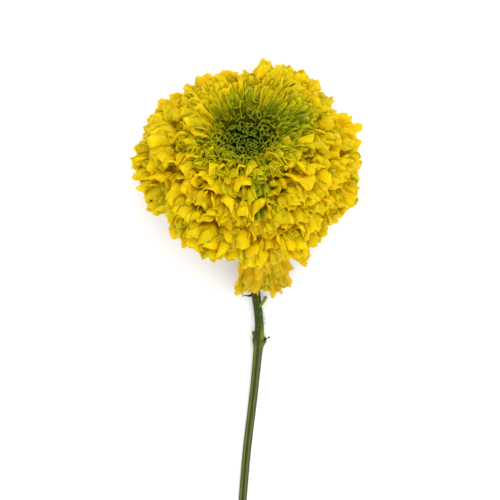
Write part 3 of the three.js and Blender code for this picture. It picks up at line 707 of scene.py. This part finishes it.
def valley_straps():
    """The narrow green petals that lie bare where the ray petals part, below the eye."""
    index = np.arange(VALLEY_COUNT) + VALLEY_FROM
    share = (np.arange(VALLEY_COUNT) + 0.5) / VALLEY_COUNT
    azimuth = np.radians(VALLEY + 1.5 + 7 * swing(index, 1))
    lines = crown_lines(
        RAY_ROOTS, 0.12 + 0.25 * share, 4.4 + 2.5 * share, azimuth, 0.95 + 0.03 * swing(index, 2),
        lean=22 + 9 * swing(index, 3),
        limb=9,
        turn=0.6 * swing(index, 5),
    )
    look = dict(
        PLAIN_LOOK,
        claw=0.5, limb_from=0.3, roll_base=2.0, waves=1.0, ruffle=0.5, margin=0.2, pleat=0.12, crumple=0.3,
        notch=0.4, green_base=0.8,
        half_width=1.7 + 0.7 * draw(index, 6),
        roll_tip=1.5 * draw(index, 9),
        curl=0.8 * swing(index, 10),
        green=0.6 + 0.4 * (1 - share),
    )
    petals("trumpet_petals_bare", lines, look, index, TRUMPET, rows=13, columns=11)


def wall_straps():
    """The long narrow petals that line the far and side walls round the eye, pointing away from it."""
    index = np.arange(STRAP_COUNT) + STRAP_FROM
    share = (index - STRAP_FROM + 0.5 + 0.45 * swing(index, 2)) / STRAP_COUNT
    azimuth = np.radians(-42 + 228 * share)
    step = 3.0 + 1.9 * draw(index, 1) ** 0.7
    foot_step = np.maximum(step - 1.35 + 0.25 * swing(index, 3), 2.2 + 0.3 * draw(index, 13))
    foot = turned_outline(TIP_OUTLINE, foot_step, azimuth)
    tip = tip_at(step, azimuth + 0.15 * swing(index, 4), lobe_reach(azimuth, smooth(3.6, 5.5, step)))
    wall_way = unit(tip - foot)
    _, sideways = round_axis(azimuth)
    off_wall = unit(np.cross(wall_way, sideways))
    off_wall = off_wall * np.sign(off_wall[:, 2:])
    tip = tip + off_wall * ((0.2 + 1.5 * draw(index, 5)) * MM)[:, None]
    elbow = foot + off_wall * 0.9 * MM
    root = foot * [0.72, 0.72, 1.0] - UP * 8.5 * MM
    lines = (root, elbow, tip, turn_about(sideways, wall_way, 0.28 * swing(index, 6)))
    outer = smooth(3.4, 4.8, step)
    broad = near_azimuth(azimuth, LEFT_SIDE, 16)
    right = near_azimuth(azimuth, RIGHT_SIDE, 42)
    look = dict(
        PLAIN_LOOK,
        claw=0.62, roll_base=1.5, pleat=0.08, dent=0.3, crumple=0.6, round=0.35,
        half_width=2.0 + 1.4 * draw(index, 7) + 1.2 * outer + 1.4 * broad,
        roll_tip=0.3 + 1.1 * draw(index, 9),
        waves=0.8 + 0.9 * draw(index, 10),
        ruffle=0.6 + 0.7 * outer,
        curl=0.9 * swing(index, 11),
        green=np.clip(0.3 * (1 - outer) + right + 0.1 * swing(index, 12), 0, 1),
        green_base=0.45 + 0.17 * right,
    )
    low = (step < 3.7) | (right > 0.6)
    petals("trumpet_petals_wall", lines, look, index, TRUMPET, low, rows=15, columns=11)
    wall_green = 1.2 * near_azimuth(azimuth, RIGHT_SIDE, 50)
    look["green"] = np.clip(wall_green + 0.4 * swing(index, 12), 0, 1)
    look["green_base"] = 0.45
    petals("ray_petals_wall", lines, look, index, RAY, ~low, rows=15, columns=13)


def trumpet_petals():
    """The narrow petals of the ring round the eye, rolled into funnels that open upwards."""
    index, step, outwardness, azimuth = place_florets(TRUMPET_COUNT, EYE_END + 0.5, NEAR_TRUMPET_END)
    near = near_azimuth(azimuth, NEAR_SIDE, 60)
    wall = smooth(2.7, 3.0, step) * (1 - smooth(0.2, 0.45, near))
    chosen = (draw(index, 21) > 0.92 * wall) & ((step < TRUMPET_END) | (near > 0.5))
    far = near_azimuth(azimuth, FAR_SIDE, 60)
    valley = near_azimuth(azimuth, VALLEY - 1, 10) * smooth(2.8, 3.6, step)
    azimuth = azimuth + 0.07 * swing(index, 11)
    lines = crown_lines(
        TRUMPET_ROOTS, outwardness, step, azimuth, 1 - 0.06 * valley,
        lean=12 * swing(index, 12) + 25 * valley,
        limb=6,
        turn=(1.1 - 0.5 * far) * swing(index, 14),
        push=1.5 * swing(index, 13),
    )
    look = dict(
        PLAIN_LOOK,
        claw=0.45, roll_base=2.4, crumple=0.4, lip=0.5, notch=0.45, green_base=0.5,
        half_width=1.75 + 0.9 * outwardness + 0.5 * swing(index, 15) + 0.3 * far,
        roll_tip=1.9 - 1.1 * far + 0.6 * swing(index, 20),
        waves=1.2 + 0.8 * draw(index, 16),
        ruffle=0.5 + 0.6 * draw(index, 17),
        curl=1.2 * swing(index, 19),
        green=1 - smooth(0.1, 1.0, outwardness),
    )
    petals("trumpet_petals", lines, look, index, TRUMPET, chosen, rows=13, columns=15)


def under_petals():
    """The oldest petals, which fold back under the bloom round the calyx."""
    index = np.arange(UNDER_COUNT)
    azimuth = 2 * math.pi * (index + 0.3 * swing(index, 41)) / UNDER_COUNT
    reach = (33 + 2.5 * swing(index, 42))[:, None]
    depth = (19.5 + 1.5 * swing(index, 43))[:, None]
    radial, sideways = round_axis(azimuth)
    lines = (
        (radial * 13.5 - UP * 12.2) * MM,
        (radial * 0.62 * reach - UP * 19.5) * MM,
        (radial * reach - UP * depth) * MM,
        turn_about(sideways, radial, 0.3 * swing(index, 45)),
    )
    look = dict(
        PLAIN_LOOK,
        claw=0.2, limb_from=0.15, roll_base=1.2, waves=1.4, ruffle=1.3, margin=0.4, pleat=0.2, dent=0.4,
        crumple=0.5, lip=0.4, hollow=-0.4, notch=0.6, round=0.4, green=0.15, green_base=0.5,
        half_width=5.6 + draw(index, 44),
        roll_tip=0.5 * swing(index, 46),
        curl=swing(index, 47),
    )
    petals("ray_petals_under", lines, look, index, RAY, rows=15)


def loose_petals():
    """The petals that hang in front, and the ones that the bloom lies on."""
    across, along, height, width = HANGING_PETALS.T[:4]
    root_across, root_along, root_height = HANGING_PETALS.T[4:7]
    ruffle, waves, curl = HANGING_PETALS.T[7:]
    rest_across, rest_along, rest_width, rest_root = RESTING_PETALS.T
    root = np.concatenate([
        to_bloom(root_across, root_along, root_height),
        to_bloom(rest_root, *RESTING_ROOT),
    ])
    elbow = np.concatenate([
        to_bloom(
            (across + root_across) / 2, 0.6 * along + 0.4 * root_along, (height + root_height) / 2 + 6,
        ),
        to_bloom((rest_across + rest_root) / 2, rest_along - 12, -1.2),
    ])
    tip = np.concatenate([to_bloom(across, along, height), to_bloom(rest_across, rest_along, 0.35)])
    place = np.arange(len(tip))
    index = place + LOOSE_FROM
    tuft = place < TUFT_COUNT
    resting = place >= len(across)
    fall = unit(tip - elbow)
    sideways = unit(np.cross([0.0, -math.sin(BLOOM_LEAN), math.cos(BLOOM_LEAN)], fall))
    sideways = sideways * np.sign(sideways[:, :1])
    turn = 0.35 * swing(index, 61) * (~tuft & ~resting)

    def with_resting(values, value):
        return np.append(values, [value] * len(RESTING_PETALS))

    look = dict(
        PLAIN_LOOK,
        claw=0.5, limb_from=0.1, roll_base=0.5, margin=0.8, dent=0.45, crumple=1.0, lip=0.7, hollow=-0.5,
        notch=0.6, green=0.06, green_base=0.12,
        half_width=np.append(width, rest_width),
        roll_tip=0.5 * swing(index, 62),
        waves=with_resting(waves, 0.8),
        ruffle=with_resting(ruffle, 1.6),
        curl=with_resting(curl, 0.3),
        round=np.where(tuft, 0.1, 0.4),
        # The hanging petals are toned deeper, and so darker, than the resting ones.
        tone=np.where(resting, 0.3, 1.0),
    )
    lines = (root, elbow, tip, turn_about(sideways, fall, turn))
    petals("ray_petals_loose", lines, look, index, RAY, rows=23, columns=25)


# One eye floret's tube, from its base out over its mouth and down inside: place along it, radius in mm,
# how deep its five teeth are cut, and its painted shade, dark at its foot and inside and pale at the mouth.
EYE_RINGS = np.array([
    (0.0, 0.5, 0, 0.0), (0.5, 0.6, 0, 0.3), (0.75, 0.72, 0, 0.5), (0.87, 0.84, 0.02, 0.62),
    (0.94, 0.97, 0.05, 0.85), (0.98, 1.1, 0.11, 1.0), (1.0, 1.02, 0.14, 1.0), (1.0, 0.76, 0.11, 1.0),
    (0.98, 0.5, 0.05, 0.85), (0.93, 0.37, 0.02, 0.3), (0.85, 0.31, 0, 0.0), (0.7, 0.28, 0, 0.0),
])


def eye_tubes():
    """The short tube florets of the sunken middle, each with a hooked and toothed mouth."""
    index, step, outwardness, azimuth = place_florets(EYE_COUNT, 0.0, EYE_END + 0.9)
    t, ring_radius, tooth, shade = (values[None, :, None] for values in EYE_RINGS.T)
    fence = np.exp(-((step - 1.35) / 0.22) ** 2) - 0.8 * np.exp(-((step - 1.8) / 0.2) ** 2)
    fence = near_azimuth(azimuth, 268, 42) * fence
    radial, round_way = round_axis(azimuth + phase(index, 31))
    end = end_direction(step, azimuth, 0) + radial * (0.5 * draw(index, 32))[:, None]
    end = unit(end + [0.0, -0.45, 0.0])
    tip = turned_outline(TIP_OUTLINE, step, azimuth)
    tip = tip + UP * ((1.6 * swing(index, 33) + 2.6 * fence) * MM)[:, None]
    root = root_at(EYE_ROOTS, outwardness, azimuth)
    middle, along = middle_line(root[:, None], (tip - end * 2.6 * MM)[:, None], tip[:, None], t)
    side = unit(np.cross(along, np.broadcast_to(round_way[:, None], along.shape)))
    other = np.cross(along, side)
    sides = 16
    angle = round_angles(sides)
    number = index[:, None, None]
    outward = outwardness[:, None, None]
    size = (1.16 + 0.2 * swing(number, 34) + 0.25 * smooth(0.5, 1.0, outward)) * MM
    teeth = tooth * np.cos(5 * angle + math.pi * 0.2)
    flat = 0.08 + 0.2 * outward + 0.16 * draw(number, 37)
    squeeze = 1 + flat * np.cos(2 * angle + 6 * draw(number, 35))
    reach = size * ring_radius * (1 + teeth) * squeeze
    hook = (0.1 + 0.7 * draw(number, 38)) * smooth(0.6, 0.94, t)
    droop = size * (hook * np.cos(angle) - 1.1 * np.maximum(teeth, 0))
    points = (
        middle[:, :, None]
        + side[:, :, None] * (reach * np.cos(angle))[..., None]
        + other[:, :, None] * (reach * np.sin(angle))[..., None]
        + along[:, :, None] * droop[..., None]
    )
    # along is the tube's painted shade, dark at its foot and inside and pale at its mouth; green makes the
    # tubes darker towards the middle of the eye.
    attributes = {
        "along": shade,
        "across": np.cos(angle),
        "tone": draw(number, 36),
        "green": 1 - smooth(0.25, 1.0, outward),
    }
    rings = len(EYE_RINGS)
    faces = repeat_faces(ring_faces(rings, sides), rings * sides, EYE_COUNT)
    make_piece("eye_tubes", to_world(points), faces, attributes, *EYE)


def outline_rings(outline, rings):
    """Radius, height and share of the way along an outline given in mm, as columns."""
    points, _ = spline(np.array(outline, float) * MM, np.linspace(0, len(outline) - 1, rings))
    return np.maximum(points[:, :1], 0.02 * MM), points[:, 1:], np.linspace(0, 1, rings)[:, None]


def turned_form(radius, height, angle):
    return to_world(np.stack([radius * np.cos(angle), radius * np.sin(angle), height + 0 * angle], -1))


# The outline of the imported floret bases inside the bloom, as radius and height in the bloom's frame, in mm.
BASES_OUTLINE = [
    (0.0, 3.2), (4.5, 3.6), (8.5, 4.8), (13, 9.2), (18, 13), (24, 15), (30.5, 12.6), (36, 5.5),
    (37.6, -1.5), (34.5, -8.5), (27.5, -13.5), (18.5, -14.5), (12, -12.4), (8.9, -13.5), (8.9, -16.5),
    (0.0, -16.5),
]


def floret_bases():
    """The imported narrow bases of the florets, as one furrowed body under the petals."""
    radius, height, share = outline_rings(BASES_OUTLINE, 60)
    angle = round_angles(160)
    folds = np.arcsin(0.95 * np.sin(24 * angle + 4 * np.sin(15 * share * math.pi + 3 * angle)))
    furrow = 0.6 * folds + 0.5 * np.sin(47 * share * math.pi + 5 * np.sin(7 * angle))
    furrow = furrow + 0.3 * np.sin(41 * angle - 30 * share)
    radius = np.maximum(radius + furrow * MM * smooth(3 * MM, 12 * MM, radius), 0.01 * MM)
    shrink = smooth(0.28, 0.48, share) * (1 - smooth(0.68, 0.8, share))
    reach = np.minimum(1, 0.99 * lobe_reach(angle + 0 * share, 1.15 * shrink))
    points = turned_form(radius * reach, height * reach, angle)[::-1]
    eye = 1 - smooth(0.2, 0.36, share[::-1])
    # along sets the colour: painted shade, darkest towards the eye where the bases lie deep under its tubes,
    # with stripes round the body.
    attributes = {
        "along": 0.7 + 0.12 * np.sin(24 * angle) - 0.6 * eye,
        "across": np.cos(angle),
        "tone": 0.5 + 0.5 * np.sin(7 * angle),
        "green": eye,
    }
    make_piece("floret_bases", points, ring_faces(*radius.shape), attributes, *RAY)


# The outline of the calyx, up its outside and down its inside, as radius and height in mm.
CALYX_OUTLINE = [
    (0.0, -30), (1.6, -30), (2.7, -29.9), (3.7, -29.2), (5, -27.8), (6.4, -25.8), (7.6, -23.5),
    (8.5, -21.2), (9.1, -19), (9.4, -17.2), (9.6, -15.5), (9.45, -14.9), (9.15, -14.9), (8.9, -15.6),
    (8.8, -17), (8.5, -19), (6, -19.2), (0.0, -19.2),
]
# Where along that outline its rim is, as a share.
CALYX_RIM = 0.64


def calyx_cup():
    """The green cup under the bloom, of grown-together bracts with ribs and pointed ends."""
    radius, height, share = outline_rings(CALYX_OUTLINE, 56)
    angle = round_angles(120)
    rib = np.cos(12 * angle)
    swell = 0.22 * MM * rib * smooth(0.12, 0.4, share) * (1 - smooth(0.7, 0.8, share))
    tooth = np.maximum(np.cos(6 * angle), 0) ** 1.5 * np.exp(-((share - CALYX_RIM) / 0.09) ** 2)
    radius = np.maximum(radius + swell + 0.75 * MM * tooth, 0.01 * MM)
    points = turned_form(radius, height + 3.6 * MM * tooth, angle)
    attributes = {
        "along": np.clip(share / CALYX_RIM, 0, 1),
        "across": rib,
        "tone": 0.5 + 0.5 * np.sin(6 * angle + 1),
    }
    make_piece("calyx_cup", points, ring_faces(*radius.shape), attributes, *CALYX)


# The stem's middle line: across and along from the bloom's middle and up from the surface, in mm.
CALYX_BASE = np.array([0.0, -18.2, 8.8])
STEM_LINE = np.array([
    CALYX_BASE, CALYX_BASE + (0.1, -1.6, -2.1), (0.7, -24, 4.9), (1.6, -32, 3.5), (3.6, -50, 3.2),
    (5.2, -64, 3.0), (5.0, -73, 2.9), (2.8, -95, 2.6), (0.4, -115, 2.3), (-1.4, -136, 2.0),
    (-3.4, -166, 1.62),
])
# How far along the leaf node is.
NODE_AT = -71.5
STEM_RADIUS = 1.62


def stem_radius(along):
    """The stem's radius in mm: its neck, its thin run, the leaf node and the ribbed run below it."""
    neck = 1.08 * np.minimum(np.exp((along - CALYX_BASE[1]) / 9), 1)
    node = 0.75 * np.exp(-((along - NODE_AT) / 2.6) ** 2)
    below = np.where(along < NODE_AT, 0.25 * np.exp(np.minimum(along - NODE_AT, 0) / 12), 0.1)
    return STEM_RADIUS + neck + node + below


def tube(line, places, radius):
    """A tube round a line given in mm from the bloom's middle and the surface.

    radius is in mm, by place along the line and by angle.
    """
    middle, along = spline(line, places)
    side = unit(np.cross(UP, along))
    rise = np.cross(along, side)
    angle = round_angles(radius.shape[1])
    points = middle[:, None] + side[:, None] * (radius * np.cos(angle))[..., None]
    return from_middle(points + rise[:, None] * (radius * np.sin(angle))[..., None])


def stem_run():
    """The ridged stem from the calyx to its cut end."""
    places = np.concatenate([np.linspace(0, 9.96, 190), [9.975, 9.99, 10.0]])
    middle, _ = spline(STEM_LINE, places)
    along = middle[:, 1:2]
    angle = round_angles(48)
    below = smooth(NODE_AT + 2, NODE_AT - 6, along)
    ridge = 0.065 * np.cos(5 * angle + 0.4) + 0.02 * np.cos(13 * angle + along / 9)
    lump = 0.02 * np.sin(along / 2.3 + 3 * np.sin(angle)) + 0.015 * np.sin(along / 0.9 + 2 * angle)
    rough = 1 + ridge * (0.5 + 0.5 * below) + lump * (1 - 0.6 * below)
    radius = stem_radius(along) * rough * (1 - 0.12 * smooth(9.97, 10, places)[:, None])
    top, bottom = STEM_LINE[0, 1], STEM_LINE[-1, 1]
    attributes = {
        "along": (along - bottom) / (top - bottom),
        "side": np.cos(angle),
        "rise": np.sin(angle),
        "below": smooth(NODE_AT + 1, NODE_AT - 3, along),
        "fresh": 0.9 * np.exp(-((along - NODE_AT - 1.5) / 3.2) ** 2) * smooth(0.0, 0.8, np.cos(angle)),
    }
    make_piece("stem_run", tube(STEM_LINE, places, radius), ring_faces(*radius.shape), attributes, *STEM)


# The cut stumps on the stem: from and to, radius at both, how yellow-green they are, and how slanted
# their cut is.
STUMPS = [
    ("leaf_stump_left", (4.1, -72.2, 3.2), (3.0, -68.0, 4.0), 0.95, 0.74, 0.15, 0.2),
    ("leaf_stump_right", (5.2, -74.2, 3.5), (7.8, -70.5, 4.9), 1.3, 1.12, 0.4, 2.2),
    ("bud_stump", (4.6, -59, 3.6), (8.2, -54, 5.0), 0.62, 0.6, 0.85, 0.3),
]


def stump(name, start, end, radius_from, radius_to, fresh, slant):
    """A cut side shoot, with a swollen foot and a slightly hollow cut face."""
    start, end = np.array(start), np.array(end)
    bend = (start + end) / 2 + (0.12, -0.25, 0.15)
    places = np.array([0, 0.12, 0.3, 0.5, 0.7, 0.9, 1.1, 1.3, 1.5, 1.7, 1.85, 1.94, 1.985, 2.0, 1.99, 1.96])
    place = places[:, None]
    ring = np.arange(len(places))[:, None]
    width = np.interp(place, [0, 2], [radius_from, radius_to])
    width = width * np.interp(ring, [0, 3, 11, 13, 14, 15], [1.1, 1, 1.03, 0.86, 0.6, 0.35])
    # inside marks the cut face, painted almost black as painted shade for the hollow stem, partly the cut's
    # own dark colour.
    inside = np.interp(ring, [13.4, 15], [0, 1])
    angle = round_angles(20)
    radius = width * (1 + 0.05 * np.cos(3 * angle + 2 * place) + 0.03 * np.cos(7 * angle))
    cut_back = slant * (radius_to + width * np.sin(angle)) / 2 * smooth(1.2, 1.95, place)
    points = tube(np.array([start, bend, end]), places, radius)
    points = points - unit(end - start) * (cut_back * MM)[..., None]
    attributes = {
        "along": place / 2,
        "side": np.cos(angle),
        "rise": np.sin(angle),
        "below": 0.2,
        "fresh": fresh * (1 - 0.8 * inside),
        "cut": inside,
    }
    make_piece(name, points, ring_faces(*radius.shape), attributes, *STEM)


def stem_hairs():
    """Short fine hairs on the stem, thickest on the right of its upper part."""
    index = np.arange(HAIR_COUNT)
    along = -22 - 55 * draw(index, 81) ** 0.9
    thick = np.exp(-((along + 62.8) / 3.6) ** 2)
    across, height = (np.interp(along, STEM_LINE[::-1, 1], STEM_LINE[::-1, k]) for k in (0, 2))
    angle = 0.35 + 2.6 * swing(index, 82) * (1 - 0.7 * thick)
    out = np.stack([np.cos(angle), 0 * angle, np.sin(angle)], -1)
    foot = np.stack([across, along, height], -1) + out * (stem_radius(along) * 0.97)[:, None]
    stray = np.stack([0.4 * swing(index, 83), -0.75 * draw(index, 84), 0.4 * swing(index, 85)], -1)
    lean = unit(out + stray)
    length = 0.35 + 0.5 * draw(index, 86) + 1.5 * thick * draw(index, 87)
    side = unit(np.cross(lean, UP + 0 * lean))
    other = np.cross(lean, side)
    turn = np.arange(4) * math.pi / 2
    ring = side[:, None] * np.cos(turn)[:, None] + other[:, None] * np.sin(turn)[:, None]
    shares = np.array([0, 0.55, 1.0])
    radii = np.array([0.035, 0.026, 0.008])
    bends = np.array([(0, 0, 0), (0, -0.03, 0), (0, -0.12, -0.02)])
    middle = foot[:, None] + lean[:, None] * (length[:, None] * shares)[..., None] + bends
    points = from_middle(middle[:, :, None] + ring[:, None] * radii[:, None, None])
    faces = repeat_faces(ring_faces(3, 4), 12, HAIR_COUNT)
    make_piece("stem_hairs", points, faces, {"along": np.array([0, 0.5, 1])[:, None]}, *HAIR)


def dry_tube(name, line, places, radius, paler, *nodes):
    """A thin withered tube, which gets paler from its foot on."""
    points = tube(np.array(line), places, radius)
    attributes = {"along": paler * places[:, None]}
    make_piece(name, points, ring_faces(*radius.shape), attributes, *WITHERED, *nodes)


def withered_bract():
    """A dry curled sliver of a bract at the stem's top."""
    line = [(2.6, -53.3, 3.9), (1.0, -53.75, 4.1), (-0.4, -53.6, 4.45), (-1.7, -53.95, 4.3)]
    places = np.linspace(0, 3, 22)
    angle = round_angles(14)
    width = np.interp(places, [0, 0.6, 1.4, 2.4, 3], [0.5, 0.55, 0.42, 0.22, 0.05])[:, None]
    flat = np.sqrt(0.3 + 0.7 * np.cos(angle - 0.9 * places[:, None]) ** 2)
    radius = width * flat * (1 + 0.1 * np.cos(5 * angle))
    dry_tube("withered_sliver", line, places, radius, 1 / 3, "withered_bract")


def withered_stalk():
    """A thin dry leaf stalk with a dark bead at its end."""
    line = [(7.7, -71.4, 4.4), (8.2, -71.1, 4.6), (8.7, -70.85, 4.75), (9.6, -70.35, 4.95)]
    places = np.concatenate([np.linspace(0, 2.2, 12), np.linspace(2.28, 3, 15)])
    angle = round_angles(12)
    thin = np.where(places > 2.9, 0.03, np.interp(places, [0, 0.5, 2.3], [0.3, 0.2, 0.16]))
    bead = 0.42 * np.sqrt(np.maximum(1 - ((places - 2.6) / 0.4) ** 2, 0.0))
    radius = np.maximum(thin, bead)[:, None] * (1 + 0.08 * np.cos(4 * angle + 5 * places[:, None]))
    dry_tube("withered_thread", line, places, radius, 0.05, "withered_stalk")


def bud_thread():
    """A fine dry thread that stands up from the bud stump."""
    line = [(7.3, -54.9, 5.2), (7.1, -54.3, 5.5), (6.7, -53.6, 5.9), (6.3, -52.6, 6.2)]
    places = np.linspace(0, 3, 12)
    width = np.interp(places, [0, 1.5, 3], [0.16, 0.11, 0.04])[:, None]
    dry_tube("bud_thread", line, places, width * (1 + 0.1 * np.cos(3 * round_angles(8))), 1 / 3)


# Light, floor and camera
LIT_PLACE = Vector((0, 0.05, 0.03))


def studio_floor():
    bpy.ops.mesh.primitive_plane_add(size=6, location=(0, 0, 0))
    floor = bpy.context.object
    floor.name = "floor"
    paper = Skin("floor_paper")
    paper.shader.inputs["Base Color"].default_value = (0.93, 0.93, 0.93, 1)
    paper.shader.inputs["Roughness"].default_value = 0.9
    paper.shader.inputs["Specular IOR Level"].default_value = 0.1
    floor.data.materials.append(paper.material)


def area_light(name, place, size, power):
    light = bpy.data.lights.new(name, "AREA")
    light.shape = "DISK"
    light.size = size
    light.energy = power
    lamp = bpy.data.objects.new(name, light)
    lamp.location = place
    lamp.rotation_euler = (LIT_PLACE - Vector(place)).to_track_quat("-Z", "Y").to_euler()
    bpy.context.scene.collection.objects.link(lamp)


ray_petals()
inner_layer()
valley_straps()
wall_straps()
trumpet_petals()
eye_tubes()
under_petals()
loose_petals()
floret_bases()
calyx_cup()
stem_run()
for values in STUMPS:
    stump(*values)
stem_hairs()
withered_bract()
withered_stalk()
bud_thread()

studio_floor()
area_light("key", (0.12, 0.5, 1.05), 0.9, 4.9)
area_light("fill", (0.3, -0.3, 1.1), 1.2, 4.3)

world = bpy.data.worlds.new("studio_world")
world.use_nodes = True
world.node_tree.nodes["Background"].inputs["Color"].default_value = (1, 1, 1, 1)
world.node_tree.nodes["Background"].inputs["Strength"].default_value = 1.16
bpy.context.scene.world = world
bpy.context.scene.view_settings.view_transform = "Standard"

# What the photo shows, at the height of the bloom's middle.
FRAME_MIDDLE = (2.9 * MM, 25.0 * MM)
FRAME_WIDTH = 200 * MM
CAMERA_HEIGHT = 2.6
SENSOR_WIDTH = 36
camera_data = bpy.data.cameras.new("camera")
camera_data.sensor_width = SENSOR_WIDTH
camera_data.lens = SENSOR_WIDTH * (CAMERA_HEIGHT - BLOOM_MIDDLE[2]) / FRAME_WIDTH
camera = bpy.data.objects.new("camera", camera_data)
camera.location = (*FRAME_MIDDLE, CAMERA_HEIGHT)
camera.rotation_euler = (0, 0, 0)
bpy.context.scene.collection.objects.link(camera)
bpy.context.scene.camera = camera
